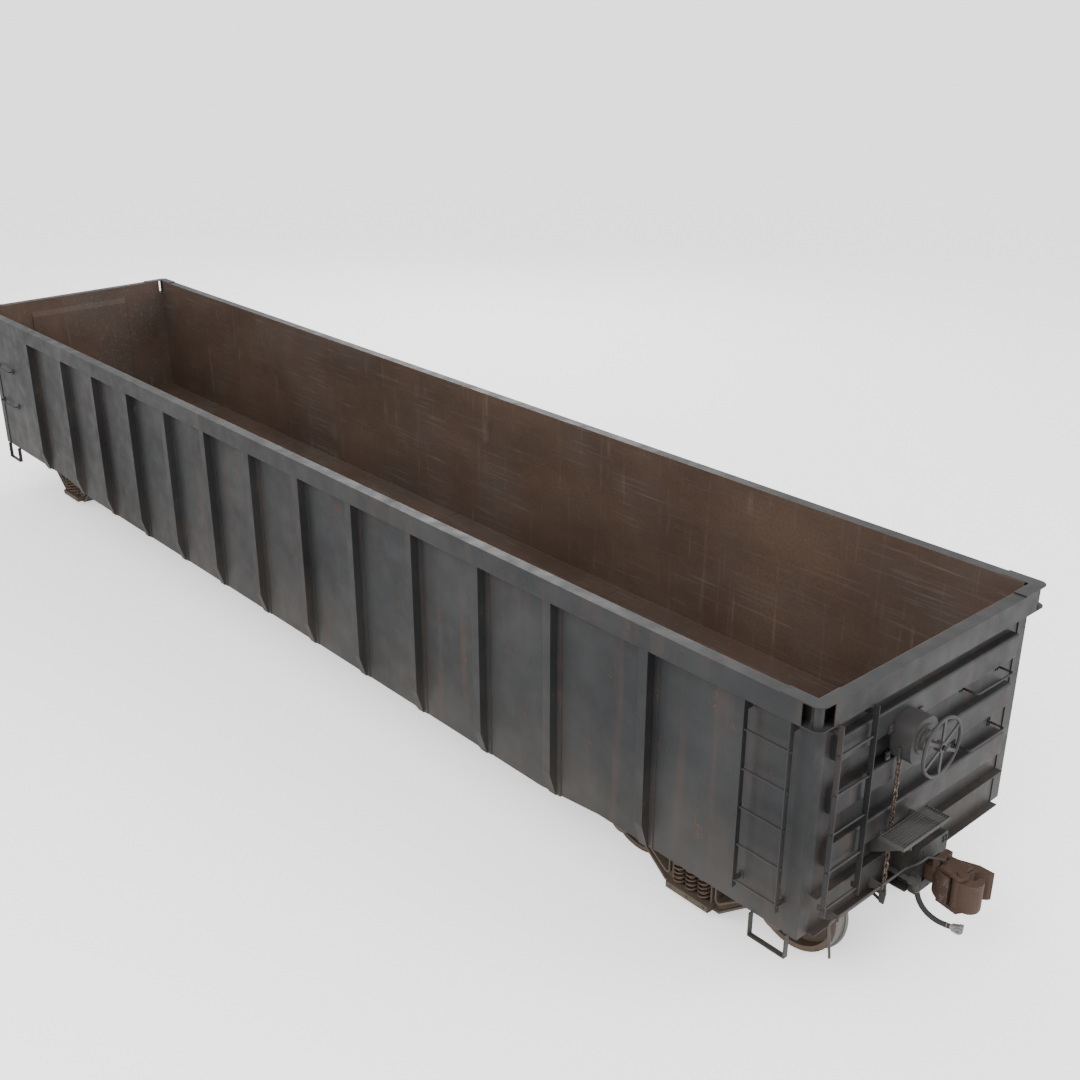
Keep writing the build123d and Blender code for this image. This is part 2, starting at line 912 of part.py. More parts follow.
with BuildPart() as knuckle_pair:
    with PolarLocations(0, len(car_ends)):
        add(knuckle.part)
save(knuckle_pair.part, "knuckles")

# Uncoupling levers
with BuildPart() as uncoupling_lever:
    with BuildLine() as uncouple_path:
        FilletPolyline(*uncouple_points, radius=uncouple_bend)
    with BuildSketch(Plane(uncouple_path.line @ 0, z_dir=uncouple_path.line % 0)):
        Circle(uncouple_radius)
    sweep(path=uncouple_path.line)
    rod_x, rod_z = uncouple_points[1][0], uncouple_points[1][2]
    for inset in uncouple_brackets:
        with BuildSketch(Plane.XZ.offset(half_width - inset)):
            with BuildLine():
                Polyline(
                    (half_length + end_sill_depth, rod_z + uncouple_bracket_size / 2),
                    (half_length + end_sill_depth, rod_z - uncouple_bracket_size),
                    (rod_x + uncouple_bracket_grip, rod_z - uncouple_bracket_grip),
                    (rod_x + uncouple_bracket_grip, rod_z + uncouple_bracket_grip),
                    close=True,
                )
            make_face()
        extrude(amount=uncouple_bracket_wall / 2, both=True)
with BuildPart() as uncoupling_pair:
    with PolarLocations(0, len(car_ends)):
        add(uncoupling_lever.part)
save(uncoupling_pair.part, "uncoupling_levers")

# Ladders: one on the side and one on the end, at two corners of the car
with BuildPart() as ladders:
    for centre in (-ladder_width / 2, ladder_width / 2):
        with BuildSketch(Plane.XY.offset(ladder_bottom)):
            with Locations((ladder_side_place + centre, -sheet_face - ladder_stand)):
                Rectangle(ladder_stile_wall, ladder_stile)
            with Locations((end_face + ladder_end_stand, -ladder_end_place + centre)):
                Rectangle(ladder_stile, ladder_stile_wall)
        extrude(amount=ladder_top - ladder_bottom)
        for level, seat in (
            (ladder_bottom + ladder_stile, half_length + end_sill_depth),
            (ladder_top - 2 * ladder_stile, end_face),
        ):
            with BuildSketch(Plane.XY.offset(level)):
                with Locations((ladder_side_place + centre, -sheet_face - ladder_stand / 2)):
                    Rectangle(ladder_stile_wall, ladder_stand)
                with Locations(((seat + end_face + ladder_end_stand) / 2, -ladder_end_place + centre)):
                    Rectangle(end_face + ladder_end_stand - seat, ladder_stile_wall)
            extrude(amount=ladder_stile)
    for step in range(rung_count):
        level = rung_first + step * rung_pitch
        with BuildSketch(Plane.YZ.offset(ladder_side_place)):
            with Locations((-sheet_face - ladder_stand, level)):
                Circle(rung_radius)
        extrude(amount=ladder_width / 2, both=True)
        with BuildSketch(Plane.XZ.offset(ladder_end_place)):
            with Locations((end_face + ladder_end_stand, level)):
                Circle(rung_radius)
        extrude(amount=ladder_width / 2, both=True)
with BuildPart() as ladder_set:
    with PolarLocations(0, len(car_ends)):
        add(ladders.part)
save(ladder_set.part, "ladders")

# Grab irons: bent rods, two on the side and two on the end at the other two corners
with BuildPart() as grab_irons:
    for level in side_iron_heights:
        with BuildLine() as side_path:
            FilletPolyline(
                (side_iron_place - iron_span / 2, sheet_face, level),
                (side_iron_place - iron_span / 2, sheet_face + iron_stand, level),
                (side_iron_place + iron_span / 2, sheet_face + iron_stand, level),
                (side_iron_place + iron_span / 2, sheet_face, level),
                radius=iron_bend,
            )
        with BuildSketch(Plane(side_path.line @ 0, z_dir=side_path.line % 0)):
            Circle(iron_radius)
        sweep(path=side_path.line)
    for level in end_iron_heights:
        with BuildLine() as end_path:
            FilletPolyline(
                (end_face, end_iron_place - iron_span / 2, level),
                (end_face + rib_depth + iron_stand, end_iron_place - iron_span / 2, level),
                (end_face + rib_depth + iron_stand, end_iron_place + iron_span / 2, level),
                (end_face, end_iron_place + iron_span / 2, level),
                radius=iron_bend,
            )
        with BuildSketch(Plane(end_path.line @ 0, z_dir=end_path.line % 0)):
            Circle(iron_radius)
        sweep(path=end_path.line)
with BuildPart() as iron_set:
    with PolarLocations(0, len(car_ends)):
        add(grab_irons.part)
save(iron_set.part, "grab_irons")

# Stirrup steps: flat bars bent into a U under each corner
with BuildPart() as stirrup_steps:
    with BuildSketch(Plane.XZ.offset(half_width - sill_wall)):
        with Locations((step_place, side_bottom - step_drop / 2)):
            Rectangle(step_width, step_drop)
        with Locations((step_place, side_bottom - step_drop / 2 + step_wall)):
            Rectangle(step_width - 2 * step_wall, step_drop, mode=Mode.SUBTRACT)
    extrude(amount=step_bar)
    mirror(about=Plane.XZ)
    mirror(about=Plane.YZ)
save(stirrup_steps.part, "stirrup_steps")

# Hand brake housing, on the end ribs
housing_back = end_face + rib_depth
with BuildPart() as hand_brake:
    with BuildSketch(Plane.YZ.offset(housing_back)):
        with Locations((-brake_place, housing_bottom + housing_height / 2)):
            housing_face = Rectangle(housing_width, housing_height)
        fillet(housing_face.vertices().group_by(Axis.Z)[-1], radius=housing_round)
        fillet(housing_face.vertices().group_by(Axis.Z)[0], radius=housing_foot_round)
    extrude(amount=housing_depth)
    with BuildSketch(Plane.YZ.offset(housing_back + housing_depth)):
        with Locations((-brake_place, brake_wheel_height)):
            Circle(housing_boss)
    extrude(amount=brake_wheel_hub)
    with BuildSketch(Plane.YZ.offset(housing_back + housing_depth)):
        with Locations((-brake_place, brake_wheel_height)):
            Circle(brake_wheel_hub / 2)
    extrude(amount=brake_wheel_face - housing_back - housing_depth)
save(hand_brake.part, "hand_brake")

# Hand wheel: rim, hub and spokes
with BuildPart() as hand_wheel:
    wheel_plane = Plane(origin=(brake_wheel_face, -brake_place, brake_wheel_height), z_dir=(1, 0, 0))
    with BuildSketch(Plane.XZ.offset(brake_place)):
        with Locations((brake_wheel_face, brake_wheel_height + brake_wheel_radius - brake_wheel_wire)):
            Circle(brake_wheel_wire)
    revolve(axis=Axis((0, -brake_place, brake_wheel_height), (1, 0, 0)))
    with BuildSketch(wheel_plane.offset(-brake_wheel_hub)):
        Circle(brake_wheel_hub)
    extrude(amount=brake_wheel_hub + brake_wheel_wire)
    with BuildSketch(wheel_plane.offset(-brake_wheel_wire / 2)):
        with PolarLocations(brake_wheel_radius / 2, brake_spokes):
            Rectangle(brake_wheel_radius - 2 * brake_wheel_wire, 2 * brake_wheel_wire)
    extrude(amount=brake_wheel_wire)
    with BuildSketch(wheel_plane.offset(-brake_wheel_hub)):
        Circle(brake_wheel_hub / 2)
    extrude(amount=2 * brake_wheel_hub, mode=Mode.SUBTRACT)
save(hand_wheel.part, "hand_wheel")

# Brake chain: links from the housing down to the bell crank
with BuildPart() as chain_link:
    link_half = (chain_pitch + touch) / 2 + chain_wire
    link_bend = chain_width / 2 - chain_wire
    with BuildLine() as link_path:
        straight = link_half - link_bend
        Line((link_bend, 0, -straight), (link_bend, 0, straight))
        ThreePointArc((link_bend, 0, straight), (0, 0, link_half), (-link_bend, 0, straight))
        Line((-link_bend, 0, straight), (-link_bend, 0, -straight))
        ThreePointArc((-link_bend, 0, -straight), (0, 0, -link_half), (link_bend, 0, -straight))
    link_wire = link_path.wires()[0]
    with BuildSketch(Plane(link_wire @ 0, z_dir=link_wire % 0)):
        Circle(chain_wire)
    sweep(path=link_wire)
link_first = housing_bottom - link_half - chain_wire
link_last = link_first - (chain_links - 1) * chain_pitch
with BuildPart() as brake_chain:
    with Locations(
        *[
            Location(
                (chain_run, -chain_place, link_first - step * chain_pitch),
                (0, 0, quarter_turn * (step % 2)),
            )
            for step in range(chain_links)
        ]
    ):
        add(chain_link.part)
save(brake_chain.part, "brake_chain")

# Brake step: a grating on two brackets
with BuildPart() as brake_step:
    step_low = brake_step_top - brake_step_height
    with BuildSketch(Plane.XY.offset(step_low)):
        with Locations((brake_step_inner + brake_step_depth / 2, -brake_step_place)):
            Rectangle(brake_step_depth, brake_step_width)
            Rectangle(
                brake_step_depth - 2 * grating_wall,
                brake_step_width - 2 * grating_wall,
                mode=Mode.SUBTRACT,
            )
            with GridLocations(brake_step_depth / grating_bars, 0, grating_bars - 1, 1):
                Rectangle(grating_wall / 2, brake_step_width - grating_wall)
    extrude(amount=brake_step_height)
    for side in (-1, 1):
        with BuildSketch(Plane.XZ.offset(brake_step_place + side * bracket_place)):
            with BuildLine():
                Polyline(
                    (housing_back, step_low),
                    (brake_step_inner + brake_step_depth, step_low),
                    (brake_step_inner + brake_step_depth, step_low - brake_step_height),
                    (end_face, step_low - bracket_height),
                    (end_face, rib_tops[-1] - rib_height),
                    (housing_back, rib_tops[-1] - rib_height),
                    close=True,
                )
            make_face()
        extrude(amount=bracket_wall / 2, both=True)
save(brake_step.part, "brake_step")

# Angle cock on the end of the brake pipe, with a stem down to the hose
with BuildPart() as angle_cock:
    hose_start = hose_points[0]
    hose_way = (hose_points[1] - hose_start).normalized()
    with BuildSketch(Plane(hose_start - hose_way * cock_stem, z_dir=hose_way)):
        Circle(cock_radius)
    extrude(amount=cock_stem)
    with BuildSketch(Plane.YZ.offset(pipe_end)):
        with Locations((-pipe_place, pipe_end_height)):
            Circle(cock_radius)
    extrude(amount=cock_length)

# Brake pipe from end to end, with its angle cocks
with BuildPart() as brake_pipe:
    with BuildLine() as pipe_path:
        FilletPolyline(
            (pipe_end, -pipe_place, pipe_end_height),
            (pipe_rise_end, -pipe_place, pipe_end_height),
            (pipe_rise_start, -pipe_place, pipe_height),
            (pipe_cross_start, -pipe_place, pipe_height),
            (pipe_cross_end, -pipe_place, pipe_dip),
            (-pipe_cross_end, pipe_place, pipe_dip),
            (-pipe_cross_start, pipe_place, pipe_height),
            (-pipe_rise_start, pipe_place, pipe_height),
            (-pipe_rise_end, pipe_place, pipe_end_height),
            (-pipe_end, pipe_place, pipe_end_height),
            radius=pipe_bend,
        )
    with BuildSketch(Plane(pipe_path.line @ 0, z_dir=pipe_path.line % 0)):
        Circle(pipe_radius)
    sweep(path=pipe_path.line)
    with PolarLocations(0, len(car_ends)):
        add(angle_cock.part)
save(brake_pipe.part, "brake_pipe")


# Air hoses and their coupling heads
def corner_radii(points):
    """The largest arc that the two runs at each corner leave room for."""
    radii = []
    for before, corner, after in zip(points, points[1:], points[2:]):
        turn = (corner - before).get_angle(after - corner)
        run = min((corner - before).length, (after - corner).length)
        radii.append(hose_arc_share * run / tan(radians(turn / 2)))
    return radii


hose_radii = corner_radii(hose_points)
print("hose radii", [round(radius) for radius in hose_radii])
with BuildPart() as air_hose:
    with BuildLine() as hose_line:
        FilletPolyline(*hose_points, radius=hose_radii)
    hose_wire = hose_line.wires()[0]
    with BuildSketch(Plane(hose_wire @ 0, z_dir=hose_wire % 0)):
        Circle(hose_radius)
    sweep(path=hose_wire)
hose_volume = hose_wire.length * pi * hose_radius**2
print("hose length", round(hose_wire.length), "volume ratio", air_hose.part.volume / hose_volume)
hose_tip = Plane(hose_wire @ 1, x_dir=(0, 0, 1), z_dir=hose_wire % 1)
hand_plane = Plane(hose_tip.origin, x_dir=hose_tip.z_dir, z_dir=hose_tip.y_dir)
with BuildPart() as glad_hand:
    with BuildSketch(hose_tip):
        Circle(hose_radius)
    extrude(amount=nipple_length)
    with BuildSketch(hand_plane):
        with Locations((nipple_length + glad_hand_radius, 0)):
            Circle(glad_hand_radius)
        with BuildLine():
            Polyline(
                (nipple_length / 2, -glad_hand_neck),
                (nipple_length + glad_hand_radius, -glad_hand_radius),
                (nipple_length + glad_hand_radius, glad_hand_radius),
                (nipple_length / 2, glad_hand_neck),
                close=True,
            )
        make_face()
        with Locations((nipple_length + hook_place, glad_hand_radius)):
            Rectangle(*hook_size)
    extrude(amount=glad_hand_wall, both=True)
    with BuildSketch(hand_plane.offset(glad_hand_wall)):
        with Locations((nipple_length + glad_hand_radius, 0)):
            Circle(gasket_radius)
            Circle(gasket_radius / 2, mode=Mode.SUBTRACT)
    extrude(amount=gasket_rise)
for end, turn in car_ends:
    save(Rotation(0, 0, turn) * air_hose.part, "air_hose_" + end)
    save(Rotation(0, 0, turn) * glad_hand.part, "glad_hand_" + end)

# Reservoir: a round tank with dished ends, slung from the floor frame on two straps
reservoir_x, reservoir_y, reservoir_z = reservoir_place
with BuildPart() as reservoir:
    with BuildSketch(Plane.XZ.offset(-reservoir_y)):
        half_tank = reservoir_length / 2
        shoulder = half_tank - reservoir_dish
        reservoir_top = reservoir_z + reservoir_radius
        with BuildLine():
            Line((reservoir_x - half_tank, reservoir_z), (reservoir_x + half_tank, reservoir_z))
            TangentArc(
                (reservoir_x + half_tank, reservoir_z),
                (reservoir_x + shoulder, reservoir_top),
                tangent=(0, 1),
            )
            Line((reservoir_x + shoulder, reservoir_top), (reservoir_x - shoulder, reservoir_top))
            TangentArc(
                (reservoir_x - half_tank, reservoir_z),
                (reservoir_x - shoulder, reservoir_top),
                tangent=(0, 1),
            )
        make_face()
    revolve(axis=Axis((0, reservoir_y, reservoir_z), (1, 0, 0)))
    for side in (-1, 1):
        with BuildSketch(Plane.XY.offset(reservoir_z)):
            with Locations((reservoir_x + side * strap_place, reservoir_y)):
                Rectangle(hanger_width, reservoir_radius)
        extrude(amount=frame_level - reservoir_z)
        with BuildSketch(Plane.YZ.offset(reservoir_x + side * strap_place - hanger_width / 2)):
            with Locations((reservoir_y, reservoir_z)):
                Circle(reservoir_radius + strap_wall)
        extrude(amount=hanger_width)
save(reservoir.part, "reservoir")

# Control valve: a pipe bracket with a valve portion on each side
valve_x, valve_y, valve_z = valve_place
with BuildPart() as control_valve:
    with Locations((valve_x, valve_y, valve_z)):
        Box(valve_bracket, valve_size, valve_size)
    with BuildSketch(Plane.YZ.offset(valve_x)):
        with Locations((valve_y, valve_z)):
            Circle(valve_cover)
    extrude(amount=valve_bracket / 2 + valve_cover_depth, both=True)
    with BuildSketch(Plane.XY.offset(valve_z)):
        with Locations((valve_x, valve_y)):
            Rectangle(hanger_width, valve_size / 2)
    extrude(amount=frame_level - valve_z)
save(control_valve.part, "control_valve")

# Brake cylinder with its push rod
cylinder_x, cylinder_y, cylinder_z = cylinder_place
with BuildPart() as brake_cylinder:
    with BuildSketch(Plane.YZ.offset(cylinder_x)):
        with Locations((cylinder_y, cylinder_z)):
            Circle(cylinder_radius)
    extrude(amount=cylinder_length)
    for place in (cylinder_x, cylinder_x + cylinder_length - cylinder_flange_wall):
        with BuildSketch(Plane.YZ.offset(place)):
            with Locations((cylinder_y, cylinder_z)):
                Circle(cylinder_flange)
        extrude(amount=cylinder_flange_wall)
    with BuildSketch(Plane.YZ.offset(cylinder_x + cylinder_length)):
        with Locations((cylinder_y, cylinder_z)):
            Circle(push_rod_radius)
    extrude(amount=cross_lever_place - cross_lever_size / 2 - cylinder_x - cylinder_length)
    with BuildSketch(Plane.XY.offset(cylinder_z)):
        with Locations((cylinder_x + cylinder_length / 2, cylinder_y)):
            Rectangle(cylinder_length / 2, hanger_width)
    extrude(amount=frame_level - cylinder_z)
save(brake_cylinder.part, "brake_cylinder")

# Brake rods: the cross lever, a rod towards each truck in guides, and the hand brake's crank and rod
with BuildPart() as brake_rods:
    lever_low = cylinder_y - cross_lever_size / 2
    lever_high = rod_place + cross_lever_past
    with BuildSketch(Plane.XY.offset(rod_height - cross_lever_wall / 2)):
        with Locations((cross_lever_place, (lever_low + lever_high) / 2)):
            Rectangle(cross_lever_size, lever_high - lever_low)
    extrude(amount=cross_lever_wall)
    for side in (-1, 1):
        rod_y = -side * rod_place
        rod_length = side * rod_end - cross_lever_place
        with BuildSketch(Plane.YZ.offset(cross_lever_place)):
            with Locations((rod_y, rod_height)):
                Circle(rod_radius)
        extrude(amount=rod_length)
        for place in (cross_lever_place, side * (rod_end - rod_jaw / 2)):
            with Locations((place, rod_y, rod_height)):
                Box(rod_jaw, 2 * rod_radius, rod_jaw_height)
        for share in rod_guide_shares:
            with BuildSketch(Plane.YZ.offset(side * share * rod_end - rod_guide_wall / 2)):
                with Locations((rod_y, sill_bottom + sill_foot_wall)):
                    Rectangle(2 * rod_radius, rod_guide_size, align=(Align.CENTER, Align.MIN))
            extrude(amount=rod_guide_wall)
    crank_top = link_last - link_half - chain_wire
    with BuildSketch(Plane.XZ.offset(chain_place)):
        with BuildLine():
            Polyline(
                (chain_run - crank_arm, crank_top),
                (chain_run + crank_arm, crank_top),
                (chain_run + crank_waist, crank_pivot),
                (chain_run + crank_arm, crank_foot),
                (chain_run - crank_arm, crank_foot),
                (chain_run - crank_waist, crank_pivot),
                close=True,
            )
        make_face()
    extrude(amount=crank_wall / 2, both=True)
    with BuildSketch(Plane.XZ.offset(chain_place)):
        with BuildLine():
            Polyline(
                (half_length + end_sill_depth, crank_bracket_top),
                (half_length + end_sill_depth, side_bottom),
                (chain_run + crank_arm, side_bottom),
                (chain_run + crank_arm, crank_pivot + crank_arm),
                close=True,
            )
        make_face()
    extrude(amount=crank_bracket_wall, both=True)
    with BuildLine() as hand_rod:
        FilletPolyline(*hand_rod_points, radius=pipe_bend)
    with BuildSketch(Plane(hand_rod.line @ 0, z_dir=hand_rod.line % 0)):
        Circle(rod_radius)
    sweep(path=hand_rod.line)
    hanger_x, hanger_y, hanger_z = hand_rod_points[1]
    with BuildSketch(Plane.XY.offset(hanger_z)):
        with Locations((hanger_x, hanger_y)):
            Rectangle(rod_guide_wall, rod_guide_size)
    extrude(amount=sill_bottom - hanger_z)
save(brake_rods.part, "brake_rods")

# Axles with the bearings on their ends
half_back = back_to_back / 2
hub_start = half_back + hub_inset
hub_end = hub_start + hub_length
bearing_start = (journal_centres - bearing_length) / 2
bearing_end = (journal_centres + bearing_length) / 2
with BuildPart() as axle:
    with BuildSketch(Plane.XY):
        with BuildLine():
            Polyline(
                (0, 0),
                (axle_radius, 0),
                (axle_radius, half_back),
                (seat_radius, hub_start),
                (seat_radius, hub_end),
                (guard_radius, hub_end),
                (guard_radius, bearing_start),
                (bearing_radius, bearing_start),
                (bearing_radius, bearing_end),
                (cap_radius, bearing_end),
                (cap_radius, bearing_end + cap_length),
                (0, bearing_end + cap_length),
                close=True,
            )
        make_face()
    revolve(axis=Axis.Y)
    mirror(about=Plane.XZ)

# Wheels, two pressed on each axle: hub, dished plate, rim, tread and flange
rim_inside = tread_radius - rim_depth
rim_front = half_back + rim_width
flange_root = tread_radius + flange_root_rise
plate_middle = (hub_radius + rim_inside) / 2
hub_plate = half_back + rim_width / 2
plate_back = half_back + plate_dish
plate_foot = half_back + plate_offset
with BuildPart() as wheels:
    with BuildSketch(Plane.XY):
        with BuildLine():
            Polyline(
                (hub_radius, hub_plate + plate_wall),
                (hub_radius, hub_end),
                (seat_radius + touch, hub_end),
                (seat_radius + touch, hub_start),
                (hub_radius, hub_start),
                (hub_radius, hub_plate - plate_wall / 2),
            )
            ThreePointArc(
                (hub_radius, hub_plate - plate_wall / 2),
                (plate_middle, plate_back),
                (rim_inside, plate_foot),
            )
            Polyline((rim_inside, plate_foot), (rim_inside, half_back), (tread_radius, half_back))
            ThreePointArc(
                (tread_radius, half_back),
                (tread_radius + flange_height, half_back + flange_width / 2),
                (flange_root, half_back + flange_width),
            )
            Polyline(
                (flange_root, half_back + flange_width),
                (tread_radius, half_back + flange_run),
                (tread_radius - tread_fall, rim_front),
                (rim_inside, rim_front),
                (rim_inside, plate_foot + plate_wall),
            )
            ThreePointArc(
                (rim_inside, plate_foot + plate_wall),
                (plate_middle, plate_back + plate_wall),
                (hub_radius, hub_plate + plate_wall),
            )
        make_face()
    revolve(axis=Axis.Y)
    mirror(about=Plane.XZ)
for end, turn in car_ends:
    for number, side in ((1, -1), (2, 1)):
        seat_place = Pos(truck_place + side * wheelbase / 2, 0, axle_height)
        save(Rotation(0, 0, turn) * seat_place * axle.part, "axle_" + end + str(number))
        save(Rotation(0, 0, turn) * seat_place * wheels.part, "wheels_" + end + str(number))


def both_trucks(piece, name):
    """Place a truck piece, modelled about its own centre, under both ends of the car."""
    for end, turn in car_ends:
        save(Rotation(0, 0, turn) * Pos(truck_place, 0, 0) * piece, name + "_" + end)


# Side frames of one truck
frame_half = frame_thickness / 2
frame_centre = journal_centres / 2
half_base = wheelbase / 2
frame_end = half_base + jaw_width / 2 + column_width / 2
with BuildPart() as side_frames:
    with BuildSketch(Plane.XZ.offset(frame_centre - frame_half)) as frame_outline:
        for side in (-1, 1):
            with BuildLine():
                Polyline(
                    (0, frame_top),
                    (side * arch_flat, frame_top),
                    (side * (half_base - jaw_width / 2), frame_shoulder),
                    (side * (frame_end - column_width), frame_shoulder),
                    (side * frame_end, jaw_top),
                    (side * frame_end, jaw_bottom),
                    (side * (frame_end - column_width / 2), jaw_bottom),
                    (side * (frame_end - column_width / 2), jaw_top),
                    (side * (half_base - jaw_width / 2), jaw_top),
                    (side * (half_base - jaw_width / 2), jaw_bottom),
                    (side * side_window_end, jaw_bottom - window_round),
                    (side * arch_flat, frame_bottom),
                    (0, frame_bottom),
                    close=True,
                )
            make_face()
        with Locations((0, (seat_top + window_top) / 2)):
            Rectangle(window_width, window_top - seat_top, mode=Mode.SUBTRACT)
        window_start = window_width / 2 + column_width
        for side in (-1, 1):
            with BuildLine():
                FilletPolyline(
                    (side * window_start, window_top),
                    (side * side_window_end, window_top),
                    (side * side_window_end, jaw_bottom + column_width),
                    (side * window_start, seat_top + window_round),
                    radius=window_round,
                    close=True,
                )
            make_face(mode=Mode.SUBTRACT)
    extrude(amount=frame_thickness)
    with BuildSketch(Plane.XZ.offset(frame_centre + frame_half)):
        add(frame_outline.sketch_local)
        offset(amount=-frame_lip, kind=Kind.INTERSECTION, mode=Mode.REPLACE)
    extrude(amount=-frame_recess, mode=Mode.SUBTRACT)
    with BuildSketch(Plane.XZ.offset(frame_centre)):
        with Locations((0, (seat_top + frame_bottom) / 2)):
            Rectangle(window_width + column_width, seat_top - frame_bottom)
    extrude(amount=seat_depth / 2, both=True)
    for side in (-1, 1):
        with BuildSketch(Plane.XZ.offset(frame_centre)):
            with Locations((side * half_base, (axle_height + jaw_top) / 2)):
                Rectangle(adapter_width, jaw_top - axle_height)
            with Locations((side * half_base, axle_height)):
                Circle(bearing_radius + bearing_room, mode=Mode.SUBTRACT)
        extrude(amount=frame_half, both=True)
        with BuildSketch(Plane.XZ.offset(frame_centre - frame_half)):
            with Locations((side * (window_width / 2 + guide_reach / 2), beam_height)):
                Rectangle(guide_reach, beam_size)
        extrude(amount=-(frame_centre - frame_half - beam_reach / 2 - touch))
    mirror(about=Plane.XZ)
both_trucks(side_frames.part, "side_frames")

# Truck bolster with its centre bowl and side bearings
with BuildPart() as truck_bolster:
    with BuildSketch(Plane.YZ):
        with BuildLine():
            Polyline(
                (-truck_bolster_length / 2, truck_bolster_top),
                (-truck_bolster_length / 2, truck_bolster_end_bottom),
                (-truck_bolster_end / 2, truck_bolster_end_bottom),
                (-truck_bolster_deep / 2, truck_bolster_bottom),
                (truck_bolster_deep / 2, truck_bolster_bottom),
                (truck_bolster_end / 2, truck_bolster_end_bottom),
                (truck_bolster_length / 2, truck_bolster_end_bottom),
                (truck_bolster_length / 2, truck_bolster_top),
                close=True,
            )
        make_face()
    extrude(amount=truck_bolster_width / 2, both=True)
    with BuildSketch(Plane.XY.offset(truck_bolster_top)):
        Circle(bowl_radius)
    extrude(amount=bowl_rim - truck_bolster_top)
    with BuildSketch(Plane.XY.offset(bowl_floor)):
        Circle(bowl_inside)
    extrude(amount=bowl_rim - bowl_floor, mode=Mode.SUBTRACT)
    for side in (-1, 1):
        with BuildSketch(Plane.XY.offset(truck_bolster_top)):
            with Locations((0, side * side_bearing_place)):
                Rectangle(side_bearing_width, side_bearing_length)
        extrude(amount=side_bearing_bottom - swivel_room - truck_bolster_top)
both_trucks(truck_bolster.part, "truck_bolster")

# Springs, six under each end of the truck bolster
with BuildPart() as springs:
    with BuildSketch(Plane.XY.offset(seat_top)):
        for side in (-1, 1):
            with Locations((0, side * frame_centre)):
                with GridLocations(spring_pitch, spring_pitch, *spring_rows):
                    Circle(spring_radius)
    extrude(amount=truck_bolster_end_bottom - seat_top)
both_trucks(springs.part, "springs")

# Brake beams: trussed beams with heads and shoes, leaning levers and the rod under the bolster
shoe_inner = tread_radius + shoe_clearance
lever_low_y, lever_low_z = lever_bottom
lever_high_y, lever_high_z = lever_top
with BuildPart() as brake_beams:
    for side in (-1, 1):
        beam_face = side * (beam_place - beam_depth / 2)
        with BuildSketch(Plane.XZ):
            with Locations((side * beam_place, beam_height)):
                Rectangle(beam_depth, beam_size)
        extrude(amount=beam_reach / 2, both=True)
        with BuildSketch(Plane.XY.offset(beam_height)):
            with BuildLine():
                Polyline(
                    (beam_face, -shoe_place),
                    (beam_face - side * truss_depth, -truss_bar),
                    (beam_face - side * truss_depth, truss_bar),
                    (beam_face, shoe_place),
                    (beam_face, shoe_place - truss_tip),
                    (beam_face - side * (truss_depth - truss_bar), truss_bar),
                    (beam_face, truss_bar),
                    (beam_face, -truss_bar),
                    (beam_face - side * (truss_depth - truss_bar), -truss_bar),
                    (beam_face, -shoe_place + truss_tip),
                    close=True,
                )
            make_face()
        extrude(amount=truss_bar / 2, both=True)
        with BuildSketch(Plane.YZ.offset(side * beam_place)):
            with BuildLine():
                Polyline(
                    (lever_low_y - lever_size / 2, lever_low_z),
                    (lever_low_y + lever_size / 2, lever_low_z),
                    (lever_high_y + lever_size / 2, lever_high_z),
                    (lever_high_y - lever_size / 2, lever_high_z),
                    close=True,
                )
            make_face()
        extrude(amount=lever_width / 2, both=True)
        for place in (-shoe_place, shoe_place):
            with BuildSketch(Plane.XZ.offset(place - shoe_width / 2)):
                with BuildLine():
                    Polyline(
                        (side * (beam_place + beam_depth / 2), beam_height - shoe_chord / 2),
                        (side * half_base, beam_height - shoe_chord / 2),
                        (side * half_base, beam_height + shoe_chord / 2),
                        (side * (beam_place + beam_depth / 2), beam_height + shoe_chord / 2),
                        close=True,
                    )
                make_face()
                with Locations((side * half_base, axle_height)):
                    Circle(shoe_inner, mode=Mode.SUBTRACT)
            extrude(amount=shoe_width)
    with Locations((0, lever_low_y, lever_low_z + bottom_rod / 2)):
        Box(2 * beam_place, bottom_rod, bottom_rod)
both_trucks(brake_beams.part, "brake_beams")
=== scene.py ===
from math import cos, pi, radians, sin

import bpy
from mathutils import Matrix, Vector


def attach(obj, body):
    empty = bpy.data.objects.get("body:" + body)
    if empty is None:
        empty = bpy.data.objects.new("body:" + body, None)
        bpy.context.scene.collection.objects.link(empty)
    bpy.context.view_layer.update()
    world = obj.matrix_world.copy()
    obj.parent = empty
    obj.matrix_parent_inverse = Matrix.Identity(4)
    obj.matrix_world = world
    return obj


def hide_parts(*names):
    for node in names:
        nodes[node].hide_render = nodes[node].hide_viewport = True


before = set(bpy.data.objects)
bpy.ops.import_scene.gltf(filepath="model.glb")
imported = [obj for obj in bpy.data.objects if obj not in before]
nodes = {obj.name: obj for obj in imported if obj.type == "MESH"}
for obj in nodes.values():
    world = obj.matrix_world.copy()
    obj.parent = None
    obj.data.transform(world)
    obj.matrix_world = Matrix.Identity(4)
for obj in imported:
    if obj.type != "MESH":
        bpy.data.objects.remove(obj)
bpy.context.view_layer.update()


# Body: welded steel sheets, posts, chords, sills and ends, with bolted ladders, irons and
# steps. The outside is worn black paint with runs of rust and dust low down. The faces
# towards the load space have lost their paint, and are rust with dents and scrapes.
dust_top = 1.7
dust_full = 0.35
dust_colour = (0.115, 0.095, 0.076, 1)
load_half_length = 8.005
load_half_width = 1.477
load_bottom = 1.165
rust_dark = (0.058, 0.037, 0.027, 1)
rust_light = (0.092, 0.059, 0.042, 1)
rust_pitted = (0.036, 0.027, 0.022, 1)
rust_greyed = (0.07, 0.064, 0.06, 1)
